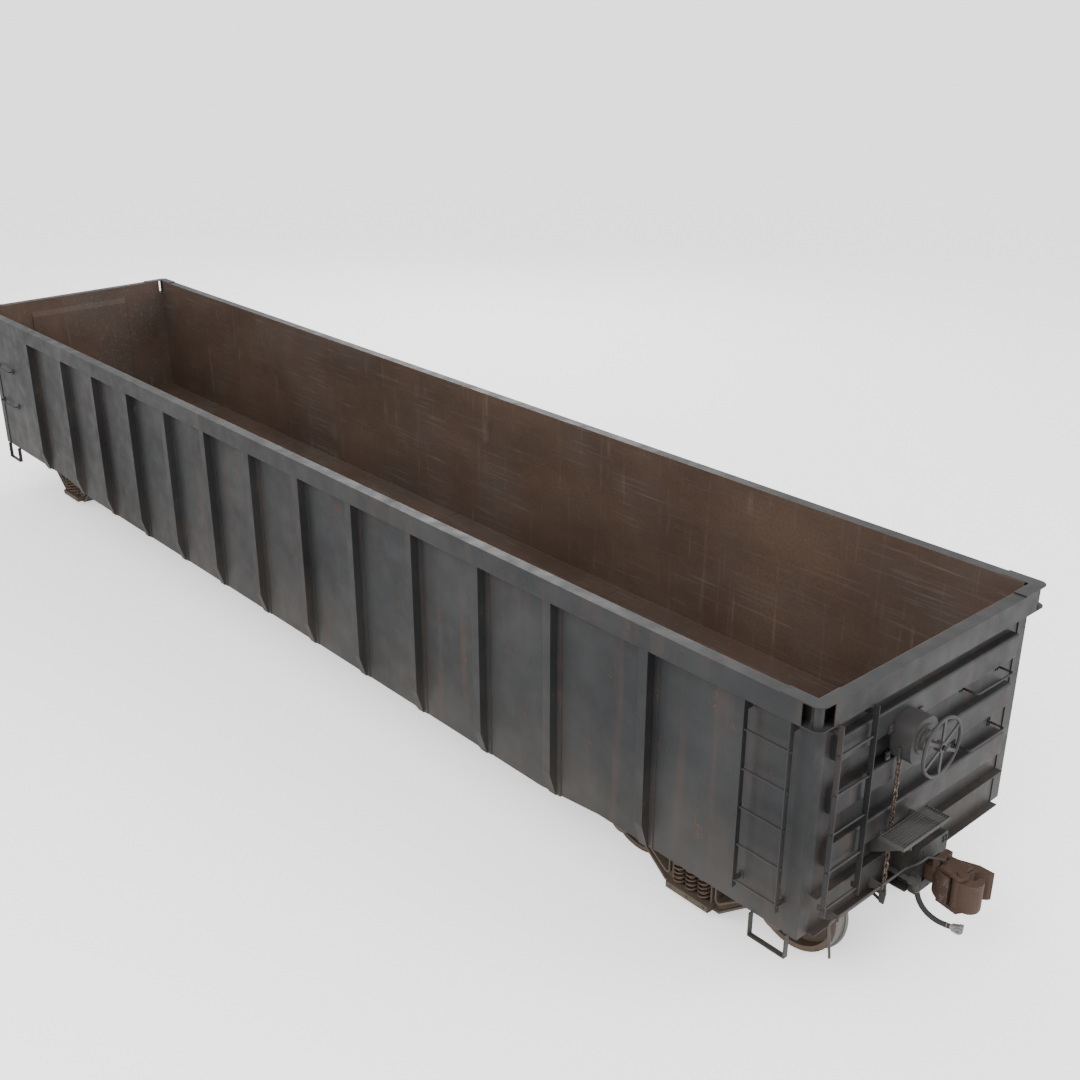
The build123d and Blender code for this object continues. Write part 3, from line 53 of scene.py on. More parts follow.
scrape_colour = (0.15, 0.13, 0.115, 1)
scratch_colour = (0.13, 0.1, 0.08, 1)
bump_height = 0.004
shine = 0.24


def finish(
    name, paint, faded, worn, rough,
    metal=0.0, wear=0.5, runs=0.0, dust=0.0, relief=0.2, edge=0.0, inside=False,
):
    """Make one weathered finish, with its paint, its faded patches and what lies under it."""
    made = bpy.data.materials.new(name)
    made.use_nodes = True
    tree = made.node_tree
    shader = tree.nodes["Principled BSDF"]

    def node(kind, inputs=(), **settings):
        item = tree.nodes.new(kind)
        for key, value in settings.items():
            setattr(item, key, value)
        for key, value in dict(inputs).items():
            if isinstance(value, bpy.types.NodeSocket):
                tree.links.new(value, item.inputs[key])
            else:
                item.inputs[key].default_value = value
        return item

    def noise(scale, detail, stretch=(1, 1, 1)):
        spot = node("ShaderNodeMapping", {"Vector": place, "Scale": stretch}).outputs[0]
        clouds = node("ShaderNodeTexNoise", {"Vector": spot, "Scale": scale, "Detail": detail})
        return clouds.outputs["Fac"]

    def spread(value, low, high, start=0.0, end=1.0):
        ends = {"Value": value, "From Min": low, "From Max": high, "To Min": start, "To Max": end}
        return node("ShaderNodeMapRange", ends).outputs[0]

    def sums(one, other, way="MULTIPLY"):
        return node("ShaderNodeMath", {0: one, 1: other}, operation=way).outputs[0]

    # Sockets 6 and 7 of a Mix node are its two colours, and socket 2 gives the mixed one.
    def blend(share, one, other):
        return node("ShaderNodeMix", {0: share, 6: one, 7: other}, data_type="RGBA").outputs[2]

    def within_half(value, half):
        return sums(sums(value, 0.0, "ABSOLUTE"), half, "LESS_THAN")

    place = node("ShaderNodeTexCoord").outputs["Object"]
    spots = node("ShaderNodeSeparateXYZ", {0: place}).outputs
    broad = noise(scale=0.9, detail=4.0)
    patches = noise(scale=5.0, detail=9.0)
    grain = noise(scale=60.0, detail=7.0)
    colour = blend(spread(broad, 0.35, 0.68), (*paint, 1), (*faded, 1))
    colour = blend(sums(spread(grain, 0.42, 0.7), 0.3), colour, (*faded, 1))
    rubbed = sums(patches, spread(grain, 0.25, 0.75, start=0.7, end=1.25))
    wear_shift = 0.26 * wear
    bare = spread(rubbed, 0.74 - wear_shift, 0.82 - wear_shift)
    smooth = None
    if edge:
        smooth = node("ShaderNodeBevel", {"Radius": edge}, samples=2).outputs[0]
        facing = node("ShaderNodeNewGeometry").outputs["Normal"]
        likeness = node("ShaderNodeVectorMath", {0: smooth, 1: facing}, operation="DOT_PRODUCT")
        edges = spread(likeness.outputs["Value"], 0.995, 0.93)
        bare = sums(sums(edges, spread(patches, 0.42, 0.6)), bare, "MAXIMUM")
    colour = blend(sums(bare, 0.75), colour, (*worn, 1))
    if runs:
        streaks = noise(scale=2.2, detail=6.0, stretch=(3.2, 3.2, 0.2))
        colour = blend(spread(streaks, 0.5, 0.75, start=0, end=runs), colour, (*worn, 1))
    if dust:
        low = spread(spots["Z"], dust_top, dust_full)
        low = sums(low, spread(broad, 0.25, 0.7, start=0.3, end=1.0))
        colour = blend(sums(low, dust), colour, dust_colour)
    if inside:
        within = within_half(spots["Y"], load_half_width)
        within = sums(within, within_half(spots["X"], load_half_length))
        within = sums(within, sums(spots["Z"], load_bottom, "GREATER_THAN"))
        clouds = noise(scale=1.3, detail=12.0, stretch=(0.5, 1, 1))
        rust = blend(spread(clouds, 0.32, 0.68), rust_dark, rust_light)
        rust = blend(sums(spread(grain, 0.45, 0.68), 0.4), rust, rust_pitted)
        rust = blend(spread(broad, 0.45, 0.72, start=0.0, end=0.45), rust, rust_greyed)
        scrapes = spread(noise(scale=9.0, detail=5.0, stretch=(0.12, 4, 4)), 0.56, 0.7)
        scrapes = sums(scrapes, spread(broad, 0.4, 0.6, start=0.1, end=0.45))
        rust = blend(scrapes, rust, scrape_colour)
        scratches = spread(noise(scale=4.0, detail=4.0, stretch=(4, 4, 0.15)), 0.58, 0.72)
        scratches = sums(scratches, spread(patches, 0.4, 0.6, start=0.0, end=0.4))
        rust = blend(scratches, rust, scratch_colour)
        colour = blend(within, colour, rust)
    gloss = spread(patches, 0.3, 0.7, start=rough - 0.07, end=rough + 0.1)
    gloss = sums(gloss, sums(bare, 0.12), "ADD")
    bumps = sums(sums(patches, 0.6), sums(grain, 0.4), "ADD")
    if inside:
        dents = noise(scale=1.7, detail=2.0)
        bumps = sums(bumps, sums(dents, 4.0), "ADD")
    bump = node("ShaderNodeBump", {"Strength": relief, "Distance": bump_height, "Height": bumps})
    if smooth:
        tree.links.new(smooth, bump.inputs["Normal"])
    tree.links.new(colour, shader.inputs["Base Color"])
    tree.links.new(gloss, shader.inputs["Roughness"])
    tree.links.new(bump.outputs[0], shader.inputs["Normal"])
    shader.inputs["Metallic"].default_value = metal
    shader.inputs["Specular IOR Level"].default_value = shine
    return made


def dress(material, *names):
    """Give CAD nodes a finish."""
    for name in names:
        nodes[name].data.materials.clear()
        nodes[name].data.materials.append(material)


body = finish(
    "body_paint",
    paint=(0.012, 0.0125, 0.0135), faded=(0.026, 0.0265, 0.027), worn=(0.08, 0.042, 0.025),
    rough=0.5, wear=0.2, runs=0.22, dust=0.3, edge=0.005, inside=True,
)
dress(
    body,
    "side_sheets", "side_sills", "side_posts", "top_chords", "end_chords", "corner_caps",
    "end_walls", "corner_posts", "end_sills", "ladders", "grab_irons", "stirrup_steps",
)


# Floor and end liners: steel plate welded down on the stringers, with a bevelled plate in
# front of each end. Loads keep it rough and rusty, and its underside is dull black paint.
plate = finish(
    "floor_steel",
    paint=(0.02, 0.02, 0.021), faded=(0.04, 0.036, 0.033), worn=(0.09, 0.05, 0.03),
    rough=0.6, metal=0.1, relief=0.4, inside=True,
)
dress(plate, "floor", "end_liners")


# Underframe: a centre sill, stringers, cross bearers and body bolsters, welded of rolled
# and plate steel. Their black paint is duller than the sides', with more dust on it.
under = finish(
    "under_paint",
    paint=(0.022, 0.022, 0.022), faded=(0.045, 0.041, 0.037), worn=(0.09, 0.05, 0.03),
    rough=0.62, wear=0.45, dust=0.5,
)
dress(under, "centre_sill", "stringers", "cross_bearers", "body_bolsters")


# Brake gear: the housing and its wheel, the pipe, tank, valve and cylinder, the rods and
# levers, and the beams in the trucks. Cast, pressed and forged steel, painted black and
# rubbed through on its edges.
gear = finish(
    "brake_gear",
    paint=(0.02, 0.02, 0.021), faded=(0.045, 0.042, 0.04), worn=(0.1, 0.055, 0.032),
    rough=0.5, wear=0.35, dust=0.4, edge=0.003,
)
dress(
    gear,
    "hand_brake", "hand_wheel", "brake_pipe", "reservoir", "control_valve", "brake_cylinder",
    "brake_rods", "uncoupling_levers", "brake_beams_b", "brake_beams_a",
)


# Brake step and chain: a steel grating fixed to the end, and forged links that hang from
# the housing. The step is dull grey, and the chain bare and brown, polished where it rubs.
grating = finish(
    "step_steel",
    paint=(0.035, 0.035, 0.035), faded=(0.07, 0.065, 0.06), worn=(0.13, 0.075, 0.045),
    rough=0.6,
)
dress(grating, "brake_step")
chain = finish(
    "chain_steel",
    paint=(0.07, 0.05, 0.038), faded=(0.12, 0.085, 0.062), worn=(0.22, 0.19, 0.16),
    rough=0.5, metal=0.6,
)
dress(chain, "brake_chain")


# Couplers and knuckles: rough steel castings that are never painted, with each knuckle
# pinned in its head. They are rust brown, and rubbed paler on their edges.
cast = finish(
    "coupler_cast",
    paint=(0.05, 0.029, 0.02), faded=(0.085, 0.053, 0.038), worn=(0.11, 0.092, 0.08),
    rough=0.62, metal=0.25, wear=0.4, relief=0.5, edge=0.01,
)
dress(cast, "couplers", "knuckles")


# Truck side frames and bolsters: rough steel castings, the frames carried on the bearings
# and the bolster on the springs. They are brown with dried dust, and darker where it wore off.
truck = finish(
    "truck_cast",
    paint=(0.056, 0.04, 0.028), faded=(0.1, 0.074, 0.053), worn=(0.032, 0.024, 0.019),
    rough=0.68, metal=0.1, dust=0.5, relief=0.6, edge=0.012,
)
dress(truck, "side_frames_b", "side_frames_a", "truck_bolster_b", "truck_bolster_a")


# Wheels and axles: rolled steel, brown on the plate and bright where the tread and the
# flange run on the rail. The bright band follows the distance from the wheel's own axle.
axle_places = {"b1": 5.655, "b2": 7.485, "a1": -5.655, "a2": -7.485}
axle_height = 0.482
band_start = 0.4505
band_full = 0.4545
band_look = (("Base Color", (0.15, 0.143, 0.136, 1)), ("Roughness", 0.4), ("Metallic", 0.8))


def wheel_finish(name, centre):
    """The wheel finish, with its bright tread about one axle."""
    made = finish(
        name,
        paint=(0.066, 0.047, 0.034), faded=(0.11, 0.079, 0.057), worn=(0.045, 0.032, 0.024),
        rough=0.62, metal=0.2, wear=0.4, dust=0.25,
    )
    tree = made.node_tree
    shader = tree.nodes["Principled BSDF"]
    place = tree.nodes.new("ShaderNodeTexCoord")
    shift = tree.nodes.new("ShaderNodeMapping")
    shift.inputs["Location"].default_value = (-centre, 0, -axle_height)
    shift.inputs["Scale"].default_value = (1, 0, 1)
    reach = tree.nodes.new("ShaderNodeVectorMath")
    reach.operation = "LENGTH"
    band = tree.nodes.new("ShaderNodeMapRange")
    band.inputs["From Min"].default_value = band_start
    band.inputs["From Max"].default_value = band_full
    tree.links.new(place.outputs["Object"], shift.inputs["Vector"])
    tree.links.new(shift.outputs[0], reach.inputs[0])
    tree.links.new(reach.outputs["Value"], band.inputs["Value"])
    # A Mix node has one set of sockets for colours and another for plain numbers.
    for socket, bright in band_look:
        mixer = tree.nodes.new("ShaderNodeMix")
        mixer.data_type = "RGBA" if socket == "Base Color" else "FLOAT"
        one, other, out = (6, 7, 2) if socket == "Base Color" else (2, 3, 0)
        tree.links.new(band.outputs[0], mixer.inputs[0])
        if shader.inputs[socket].links:
            tree.links.new(shader.inputs[socket].links[0].from_socket, mixer.inputs[one])
        else:
            mixer.inputs[one].default_value = shader.inputs[socket].default_value
        mixer.inputs[other].default_value = bright
        tree.links.new(mixer.outputs[out], shader.inputs[socket])
    return made


for wheel, centre in axle_places.items():
    dress(wheel_finish("wheel_steel_" + wheel, centre), "wheels_" + wheel, "axle_" + wheel)


# Air hoses: moulded black rubber, hanging from the cock at each end of the car, with a
# grey cast coupling head on the free end. The curve runs along the route of the CAD hose.
car_ends = (("b", 1), ("a", -1))
hose_radius = 0.023
hose_route = [
    (8.345, -0.330, 0.872),
    (8.360, -0.330, 0.814),
    (8.388, -0.327, 0.761),
    (8.425, -0.320, 0.714),
    (8.472, -0.308, 0.676),
    (8.525, -0.292, 0.649),
    (8.583, -0.272, 0.633),
    (8.640, -0.250, 0.628),
]
rubber = finish(
    "hose_rubber",
    paint=(0.014, 0.014, 0.014), faded=(0.028, 0.027, 0.026), worn=(0.06, 0.055, 0.05),
    rough=0.6, wear=0.15,
)
dress(rubber, "air_hose_b", "air_hose_a")
coupling = finish(
    "hand_casting",
    paint=(0.16, 0.16, 0.16), faded=(0.24, 0.23, 0.22), worn=(0.16, 0.1, 0.06),
    rough=0.5, metal=0.5, wear=0.4, edge=0.003,
)
dress(coupling, "glad_hand_b", "glad_hand_a")
for end, way in car_ends:
    curve = bpy.data.curves.new("hose_" + end, "CURVE")
    curve.dimensions = "3D"
    line = curve.splines.new("NURBS")
    line.points.add(len(hose_route) - 1)
    for point, (x, y, z) in zip(line.points, hose_route):
        point.co = (way * x, way * y, z, 1)
    line.order_u = 3
    line.use_endpoint_u = True
    line.resolution_u = 12
    curve.bevel_depth = hose_radius
    curve.bevel_resolution = 6
    curve.use_fill_caps = True
    hose = bpy.data.objects.new("hose_" + end, curve)
    bpy.context.scene.collection.objects.link(hose)
    curve.materials.append(rubber)
    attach(hose, "car_body")
    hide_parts("air_hose_" + end)


# Springs: an outer and an inner coil of round bar, six pairs between each side frame and
# the truck bolster, in place of the CAD's plain cylinders. Bare steel, gone brown.
truck_place = 6.57
frame_place = 1.003
coil_foot = 0.206
coil_height = 0.253
coil_pitch = 0.145
coil_sizes = (("outer", 0.0565, 0.0105, 5), ("inner", 0.031, 0.0065, 8))
coil_rows = (((coil_pitch, 0, 0), 3), ((0, coil_pitch, 0), 2), ((0, 2 * frame_place, 0), 2))
steps_round = 18
smooth_angle = radians(35)
spring = finish(
    "spring_steel",
    paint=(0.07, 0.05, 0.038), faded=(0.12, 0.08, 0.058), worn=(0.17, 0.14, 0.12),
    rough=0.5, metal=0.5, wear=0.4,
)
dress(spring, "springs_b", "springs_a")


def settle(name, body_name, material, soft=0.0):
    """Name the active mesh, round its edges and let it ride on its body."""
    item = bpy.context.object
    item.name = name
    bpy.ops.object.transform_apply(location=True, rotation=True, scale=True)
    if soft:
        rounding = item.modifiers.new("round", "BEVEL")
        rounding.width = soft
        rounding.segments = 2
        rounding.limit_method = "ANGLE"
        bpy.ops.object.modifier_apply(modifier=rounding.name)
    bpy.ops.object.shade_smooth_by_angle(angle=smooth_angle)
    item.data.materials.append(material)
    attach(item, body_name)


for end, way in car_ends:
    for coil, radius, wire, turns in coil_sizes:
        bpy.ops.object.select_all(action="DESELECT")
        bpy.ops.mesh.primitive_circle_add(
            vertices=8, radius=wire, location=(radius, 0, coil_foot + wire), rotation=(pi / 2, 0, 0)
        )
        bpy.ops.object.transform_apply(location=True, rotation=True, scale=True)
        item = bpy.context.object
        screw = item.modifiers.new("coil", "SCREW")
        screw.screw_offset = (coil_height - 2 * wire) / turns
        screw.iterations = turns
        screw.steps = steps_round
        screw.render_steps = steps_round
        bpy.ops.object.modifier_apply(modifier=screw.name)
        for step, count in coil_rows:
            array = item.modifiers.new("row", "ARRAY")
            array.use_relative_offset = False
            array.use_constant_offset = True
            array.constant_offset_displace = step
            array.count = count
            bpy.ops.object.modifier_apply(modifier=array.name)
        item.location = (way * truck_place - coil_pitch, -frame_place - coil_pitch / 2, 0)
        bpy.ops.object.transform_apply(location=True, rotation=True, scale=True)
        bpy.ops.object.mode_set(mode="EDIT")
        bpy.ops.mesh.select_all(action="SELECT")
        bpy.ops.mesh.normals_make_consistent(inside=False)
        bpy.ops.object.mode_set(mode="OBJECT")
        settle("springs_" + coil + "_" + end, "truck_" + end, spring)
        if coil == "outer":
            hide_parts("springs_" + end)


# Bearing cap screws: three hexagon screws in the end cap of each bearing. They hold the
# cap to the axle, so they turn with it.
cap_face = 1.124
screw_ring = 0.05
head_turns = {"X": (0, pi / 2, 0), "Y": (pi / 2, 0, 0), "Z": (0, 0, 0)}


def heads(name, body_name, spots, material, radius, height, axis, sides=6):
    """Bolt heads or rivets, all in one mesh: each a short prism at a spot, along an axis."""
    shape = {"vertices": sides, "radius": radius, "depth": height, "rotation": head_turns[axis]}
    bpy.ops.object.select_all(action="DESELECT")
    bpy.ops.mesh.primitive_cylinder_add(location=spots[0], **shape)
    bpy.ops.object.transform_apply(location=True, rotation=True, scale=True)
    bpy.ops.object.mode_set(mode="EDIT")
    for spot in spots[1:]:
        bpy.ops.mesh.primitive_cylinder_add(location=spot, **shape)
    bpy.ops.object.mode_set(mode="OBJECT")
    settle(name, body_name, material, soft=radius / 7)


def ring(radius, turns):
    """Points round a circle at turns in degrees, as distances across and up."""
    return [(radius * cos(radians(turn)), radius * sin(radians(turn))) for turn in turns]


for wheel, centre in axle_places.items():
    points = ring(screw_ring, (90, 210, 330))
    spots = [(centre + x, side * cap_face, axle_height + z) for side in (-1, 1) for x, z in points]
    heads(
        "cap_screws_" + wheel, "wheelset_" + wheel, spots, gear,
        radius=0.017, height=0.016, axis="Y",
    )


# Ladder and grab iron feet: a small steel plate where each meets the body, in its paint.
# One bolt holds each foot of a ladder, and two bolts hold each foot of an iron.
side_plate = 1.485
side_bolt = 1.493
end_plate = 8.013
end_bolt = 8.021
bolt_gap = 0.025
stile_shift = 0.014
ladder_stiles = ((7.42, -stile_shift), (7.86, stile_shift))
ladder_levels = (1.085, 2.691)
ladder_foot = (0.05, 0.008, 0.06)
side_irons = (7.28, 7.84)
side_iron_levels = (1.54, 2.105)
side_iron_foot = (0.05, 0.008, 0.075)
end_irons = (0.55, 1.11)
end_iron_levels = (1.745, 2.3)
end_iron_foot = (0.008, 0.05, 0.075)
feet = []
bolts_side = []
bolts_end = []


def blocks(name, body_name, boxes, material, soft=0.002):
    """Small plates and blocks in one mesh, each given by its middle and its size."""
    bpy.ops.object.select_all(action="DESELECT")
    middle, size = boxes[0]
    bpy.ops.mesh.primitive_cube_add(size=1, location=middle, scale=size)
    bpy.ops.object.transform_apply(location=True, rotation=True, scale=True)
    bpy.ops.object.mode_set(mode="EDIT")
    for middle, size in boxes[1:]:
        bpy.ops.mesh.primitive_cube_add(size=1, location=middle, scale=size)
    bpy.ops.object.mode_set(mode="OBJECT")
    settle(name, body_name, material, soft=soft)


def round_car(spots):
    """The same spots at both ends of the car, the far ones turned half round."""
    return list(spots) + [(-x, -y, z) for x, y, z in spots]


for x, shift in ladder_stiles:
    for z in ladder_levels:
        feet.append(((x, -side_plate, z), ladder_foot))
        bolts_side.append((x + shift, -side_bolt, z))
for x in side_irons:
    for z in side_iron_levels:
        feet.append(((x, side_plate, z), side_iron_foot))
        bolts_side += [(x, side_bolt, z - bolt_gap), (x, side_bolt, z + bolt_gap)]
for y in end_irons:
    for z in end_iron_levels:
        feet.append(((end_plate, y, z), end_iron_foot))
        bolts_end += [(end_bolt, y, z - bolt_gap), (end_bolt, y, z + bolt_gap)]
feet += [((-x, -y, z), size) for (x, y, z), size in feet]
blocks("step_feet", "car_body", feet, body)
heads(
    "foot_bolts_side", "car_body", round_car(bolts_side), body,
    radius=0.011, height=0.01, axis="Y",
)
heads(
    "foot_bolts_end", "car_body", round_car(bolts_end), body,
    radius=0.011, height=0.01, axis="X",
)


# Ladder rungs: round bars through the two stiles, with a nut on each end. Both corners have
# a ladder on the side and one on the end.
side_ladder_x = 7.64
side_rung_y = -1.571
end_ladder_y = -1.13
end_rung_x = 8.141
half_rung = 0.229
first_rung = 1.075
rung_step = 0.355
levels = [first_rung + rung_step * step for step in range(5)]
spots = [(side_ladder_x + x, side_rung_y, z) for x in (-half_rung, half_rung) for z in levels]
heads(
    "rung_nuts_side", "car_body", round_car(spots), body,
    radius=0.016, height=0.009, axis="X",
)
spots = [(end_rung_x, end_ladder_y + y, z) for y in (-half_rung, half_rung) for z in levels]
heads(
    "rung_nuts_end", "car_body", round_car(spots), body,
    radius=0.016, height=0.009, axis="Y",
)


# Striker rivets: round heads, four in each corner of the cast striker, which hold it to
# the end of the centre sill.
striker_face = 8.266
rivet_columns = (-0.19, -0.15, 0.15, 0.19)
rivet_levels = (0.735, 0.765, 1.075, 1.11)
spots = [(striker_face, y, z) for y in rivet_columns for z in rivet_levels]
heads(
    "striker_rivets", "car_body", round_car(spots), body,
    radius=0.014, height=0.01, axis="X", sides=12,
)


# Hand brake ears: four steel lugs that carry the housing on the ribs of the end, with a
# bolt through each.
ear_x = 8.104
ear_size = (0.018, 0.05, 0.07)
ear_levels = (2.18, 2.42)
ear_bolt_x = 8.118
ears = [((ear_x, y, z), ear_size) for y in (-0.625, -0.215) for z in ear_levels]
blocks("brake_ears", "car_body", ears, gear)
spots = [(ear_bolt_x, y, z) for y in (-0.63, -0.21) for z in ear_levels]
heads(
    "brake_bolts", "car_body", spots, gear,
    radius=0.014, height=0.012, axis="X",
)


# Brake pipe clips: steel blocks under the cross bearers, which hold the pipe along the
# car. The pipe changes sides at the middle.
bearers = (1.0418, 2.0619, 3.1020, 4.1429, 5.1550)
pipe_y = 0.33
pipe_z = 0.79
clip_size = (0.03, 0.055, 0.05)
clips = [((x, -pipe_y, pipe_z), clip_size) for x in bearers]
clips += [((-x, pipe_y, pipe_z), clip_size) for x in bearers]
blocks("pipe_clips", "car_body", clips, gear)


# Air pipes: thin steel pipes from the brake pipe to the control valve, and from the valve
# to the reservoir and over the centre sill to the brake cylinder.
air_pipe_radius = 0.013
supply = [(-0.9, 0.33, 0.79), (-0.9, 0.33, 0.93), (-0.9, 0.56, 0.93), (-0.67, 0.56, 0.93)]
to_tank = [(-1.125, 0.64, 0.87), (-1.06, 0.64, 0.87), (-0.98, 0.66, 0.87), (-0.67, 0.66, 0.87)]
to_cylinder = [
    (-0.62, 0.52, 0.96),
    (-0.62, 0.42, 0.98),
    (-0.62, -0.5, 0.98),
    (-0.62, -0.62, 0.96),
    (-0.62, -0.62, 0.9),
]
for number, route in enumerate((supply, to_tank, to_cylinder)):
    name = "air_pipe_" + str(number + 1)
    curve = bpy.data.curves.new("air_pipe", "CURVE")
    curve.dimensions = "3D"
    line = curve.splines.new("POLY")
    line.points.add(len(route) - 1)
    for point, place in zip(line.points, route):
        point.co = (*place, 1)
    curve.bevel_depth = air_pipe_radius
    curve.bevel_resolution = 3
    curve.use_fill_caps = True
    pipe = bpy.data.objects.new(name, curve)
    bpy.context.scene.collection.objects.link(pipe)
    bpy.ops.object.select_all(action="DESELECT")
    pipe.select_set(True)
    bpy.context.view_layer.objects.active = pipe
    bpy.ops.object.convert(target="MESH")
    settle(name, "car_body", gear)


# Reservoir, brake cylinder and control valve fittings: a boss in each end of the tank, and
# the bolts round the flanges of the cylinder and the covers of the valve.
tank_bosses = [(-1.988, 0.64, 0.87), (-1.116, 0.64, 0.87)]
cylinder_y = -0.62
cylinder_z = 0.768
cylinder_flanges = (-0.364, -0.776)
valve_y = 0.62
valve_z = 0.9
valve_covers = (-0.486, -0.754)
heads(
    "tank_bosses", "car_body", tank_bosses, gear,
    radius=0.045, height=0.024, axis="X", sides=16,
)
bolt_ring = ring(0.152, range(0, 360, 45))
spots = [(x, cylinder_y + y, cylinder_z + z) for x in cylinder_flanges for y, z in bolt_ring]
heads(
    "cylinder_bolts", "car_body", spots, gear,
    radius=0.01, height=0.014, axis="X",
)
bolt_ring = ring(0.08, range(0, 360, 60))
spots = [(x, valve_y + y, valve_z + z) for x in valve_covers for y, z in bolt_ring]
heads(
    "valve_bolts", "car_body", spots, gear,
    radius=0.009, height=0.012, axis="X",
)


# Hand brake cover: a raised round cover behind the wheel, held by six screws, with the
# release handle beside it. A nut holds the hand wheel on its shaft.
wheel_y = -0.42
wheel_z = 2.33
cover_x = 8.289
screw_x = 8.297
nut_x = 8.478
heads(
    "brake_cover", "car_body", [(cover_x, wheel_y, wheel_z)], gear,
    radius=0.13, height=0.012, axis="X", sides=40,
)
spots = [(screw_x, wheel_y + y, wheel_z + z) for y, z in ring(0.115, range(30, 390, 60))]
heads(
    "cover_screws", "car_body", spots, gear,
    radius=0.009, height=0.01, axis="X",
)
handle = [((8.2, -0.61, 2.27), (0.022, 0.03, 0.022)), ((8.2, -0.628, 2.235), (0.024, 0.01, 0.12))]
blocks("release_handle", "car_body", handle, gear, soft=0.003)
heads(
    "wheel_nut", "car_body", [(nut_x, wheel_y, wheel_z)], gear,
    radius=0.02, height=0.03, axis="X",
)


# Hose clamps: a steel band round each end of each hose, square to it there, which grips
# the hose on the cock and on the coupling head.
clamp_places = (
    (Vector((8.349, -0.33, 0.857)), Vector((0.004, 0, -0.014))),
    (Vector((8.615, -0.2604, 0.6302)), Vector((0.013, 0.0054, -0.0012))),
)
for end, way in car_ends:
    half_round = Vector((way, way, 1))
    for number, (spot, along) in enumerate(clamp_places):
        bpy.ops.object.select_all(action="DESELECT")
        bpy.ops.mesh.primitive_torus_add(
            major_radius=0.0235, minor_radius=0.0035, major_segments=32, minor_segments=8,
            location=spot * half_round,
            rotation=(along * half_round).to_track_quat("Z", "Y").to_euler(),
        )
        settle("hose_clamp_" + end + str(number + 1), "car_body", coupling)


# Weld beads: thin ridges of weld metal along both edges of each side post, under the top
# chords, along the end ribs, and across the floor where its plates meet.
bead = 0.007
chord_bead = 0.008
chord_bead_level = 2.7615
post_top = 2.762
post_foot_gap = 0.01
half_post = 0.101
half_length = 8.001
sheet_face = 1.483
end_face = 8.0115
rib_tops = (2.6, 2.117, 1.624)
post_shares = (0.1302, 0.2577, 0.3877, 0.5178, 0.6443, 0.7924)
posts = [0.0] + [side * share * half_length for share in post_shares for side in (-1, 1)]
belly_foot = 0.7
belly_rise = 0.087
slope_start = 4.97
slope_length = 0.79


def foot(x):
    """The height of the foot of the side at a place along the car."""
    return belly_foot + belly_rise * min(max((abs(x) - slope_start) / slope_length, 0), 1)


beads = []
for x in posts:
    for edge in (-half_post, half_post):
        for side in (-1, 1):
            low = foot(x) + post_foot_gap
            middle = (x + edge, side * sheet_face, (low + post_top) / 2)
            beads.append((middle, (bead, 0.005, post_top - low)))
blocks("post_welds", "car_body", beads, body, soft=0.0015)
beads = [((0, side * 1.4845, chord_bead_level), (15.7, bead, chord_bead)) for side in (-1, 1)]
for end in (-1, 1):
    for top in rib_tops:
        for level in (top + 0.003, top - 0.233):
            beads.append(((end * end_face, 0, level), (bead, 2.496, bead)))
    beads.append(((end * end_face, 0, chord_bead_level), (bead, 2.7, chord_bead)))
blocks("seam_welds", "car_body", beads, body, soft=0.002)
beads = [((x, 0, 1.1695), (0.012, 2.94, 0.003)) for x in (-6.3, -3.1, 0, 3.1, 6.3)]
blocks("floor_welds", "car_body", beads, plate, soft=0.001)


# Truck fittings: the rivets of the wear plates beside the springs, the bolts of the side
# bearings, and the rivets along each spring seat. They move with their truck.
column_places = (-0.255, 0.255)
column_levels = (0.29, 0.36, 0.5, 0.57)
column_y = 1.037
bearing_places = (-0.068, 0.068)
bearing_rows = (0.6, 0.67)
bearing_z = 0.64
seat_places = (-0.2, 0, 0.2)
seat_y = 1.156
seat_z = 0.172
for end, way in car_ends:
    truck_body = "truck_" + end
    middle = way * truck_place
    spots = []
    for x in column_places:
        spots += [(middle + x, side * column_y, z) for z in column_levels for side in (-1, 1)]
    heads(
        "column_rivets_" + end, truck_body, spots, truck,
        radius=0.011, height=0.016, axis="Y", sides=12,
    )
    spots = []
    for x in bearing_places:
        spots += [(middle + x, side * y, bearing_z) for y in bearing_rows for side in (-1, 1)]
    heads(
        "bearing_bolts_" + end, truck_body, spots, truck,
        radius=0.009, height=0.012, axis="Z",
    )
    spots = [(middle + x, side * seat_y, seat_z) for x in seat_places for side in (-1, 1)]
    heads(
        "seat_rivets_" + end, truck_body, spots, truck,
        radius=0.012, height=0.01, axis="Y", sides=12,
    )


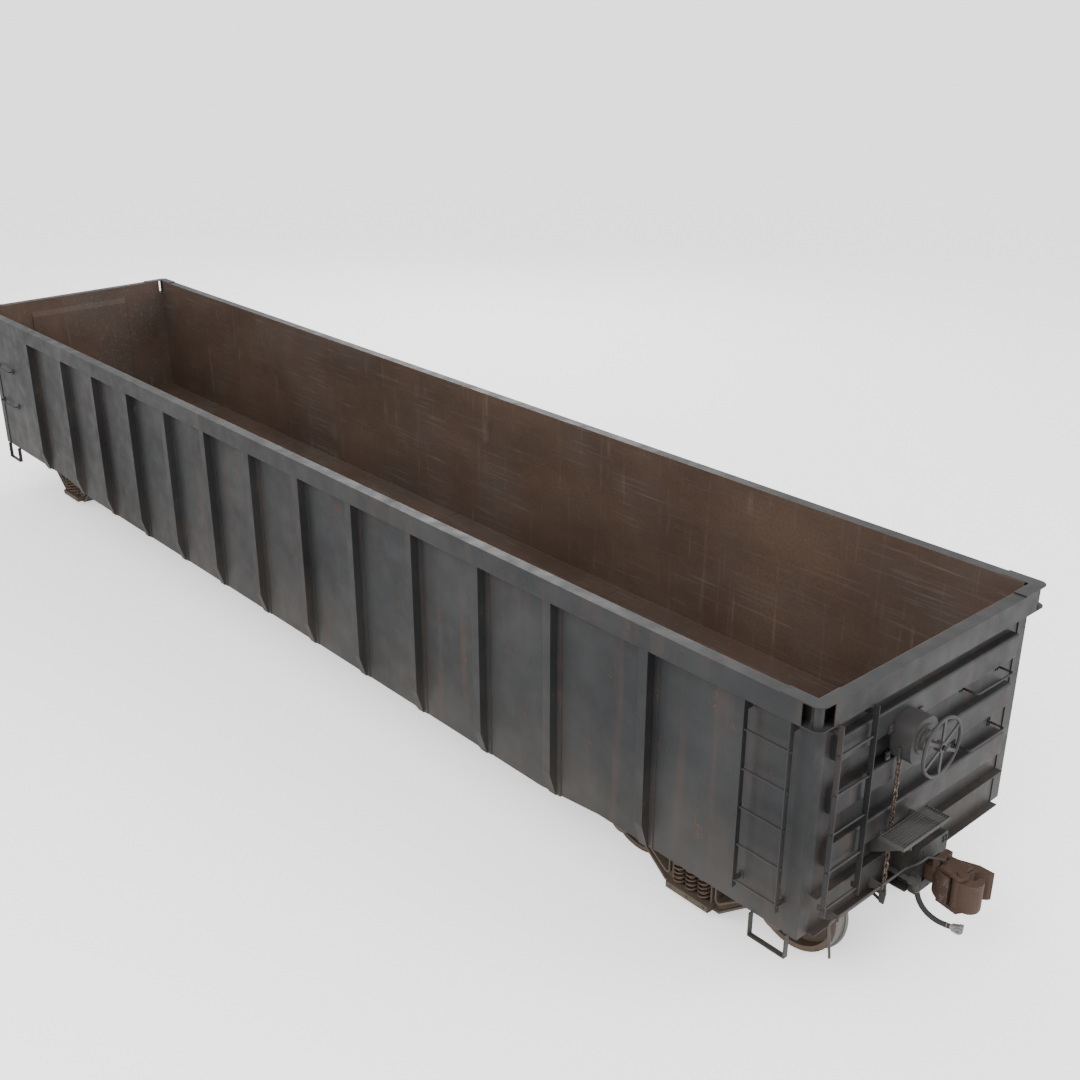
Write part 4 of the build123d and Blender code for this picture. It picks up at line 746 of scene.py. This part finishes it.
# Studio: a wide pale floor under an even pale sky, with three soft lights. Floor and sky
# look a little brighter to the camera than the light that they throw on the car.
floor_width = 1600
floor_glow = 0.8
sky_light = 1.4
sky_look = 2.06
bpy.ops.object.select_all(action="DESELECT")
bpy.ops.mesh.primitive_plane_add(size=floor_width, location=(0, 0, -0.001))
ground = bpy.context.object
ground.name = "studio_floor"
pale = bpy.data.materials.new("studio_floor")
pale.use_nodes = True
floor_tree = pale.node_tree
floor_shader = floor_tree.nodes["Principled BSDF"]
floor_shader.inputs["Base Color"].default_value = (0.9, 0.9, 0.9, 1)
floor_shader.inputs["Roughness"].default_value = 0.9
floor_shader.inputs["Emission Color"].default_value = (1, 1, 1, 1)
shown = floor_tree.nodes.new("ShaderNodeMath")
shown.operation = "MULTIPLY"
shown.inputs[1].default_value = floor_glow
floor_path = floor_tree.nodes.new("ShaderNodeLightPath")
floor_tree.links.new(floor_path.outputs["Is Camera Ray"], shown.inputs[0])
floor_tree.links.new(shown.outputs[0], floor_shader.inputs["Emission Strength"])
ground.data.materials.append(pale)

world = bpy.data.worlds.new("studio")
world.use_nodes = True
sky = world.node_tree
light = sky.nodes["Background"]
seen = sky.nodes.new("ShaderNodeBackground")
for shade, strength in ((light, sky_light), (seen, sky_look)):
    shade.inputs["Color"].default_value = (1, 1, 1, 1)
    shade.inputs["Strength"].default_value = strength
either = sky.nodes.new("ShaderNodeMixShader")
sky_path = sky.nodes.new("ShaderNodeLightPath")
sky.links.new(sky_path.outputs["Is Camera Ray"], either.inputs[0])
sky.links.new(light.outputs[0], either.inputs[1])
sky.links.new(seen.outputs[0], either.inputs[2])
sky.links.new(either.outputs[0], sky.nodes["World Output"].inputs[0])
bpy.context.scene.world = world
for name, spot, turn, size, power in (
    ("key", (9, -14, 13), (52, 0, 28), 9, 2600),
    ("fill", (18, 6, 9), (62, 0, 110), 9, 1500),
    ("rim", (-12, 12, 12), (55, 0, -140), 10, 1800),
):
    lamp = bpy.data.lights.new(name, "AREA")
    lamp.size = size
    lamp.energy = power
    source = bpy.data.objects.new(name, lamp)
    source.location = spot
    source.rotation_euler = [radians(angle) for angle in turn]
    bpy.context.scene.collection.objects.link(source)


# Camera: a plain lens where the photo was taken from, looking down on the near corner of
# the hand brake end.
look_down = 23.531
heading = 138.311
lens = bpy.data.cameras.new("photo_camera")
lens.lens = 44.06
lens.sensor_width = 36
lens.clip_end = 3000
camera = bpy.data.objects.new("photo_camera", lens)
camera.location = (12.894, -8.549, 7.879)
camera.rotation_euler = (radians(90 - look_down), 0, radians(heading - 90))
bpy.context.scene.collection.objects.link(camera)
bpy.context.scene.camera = camera
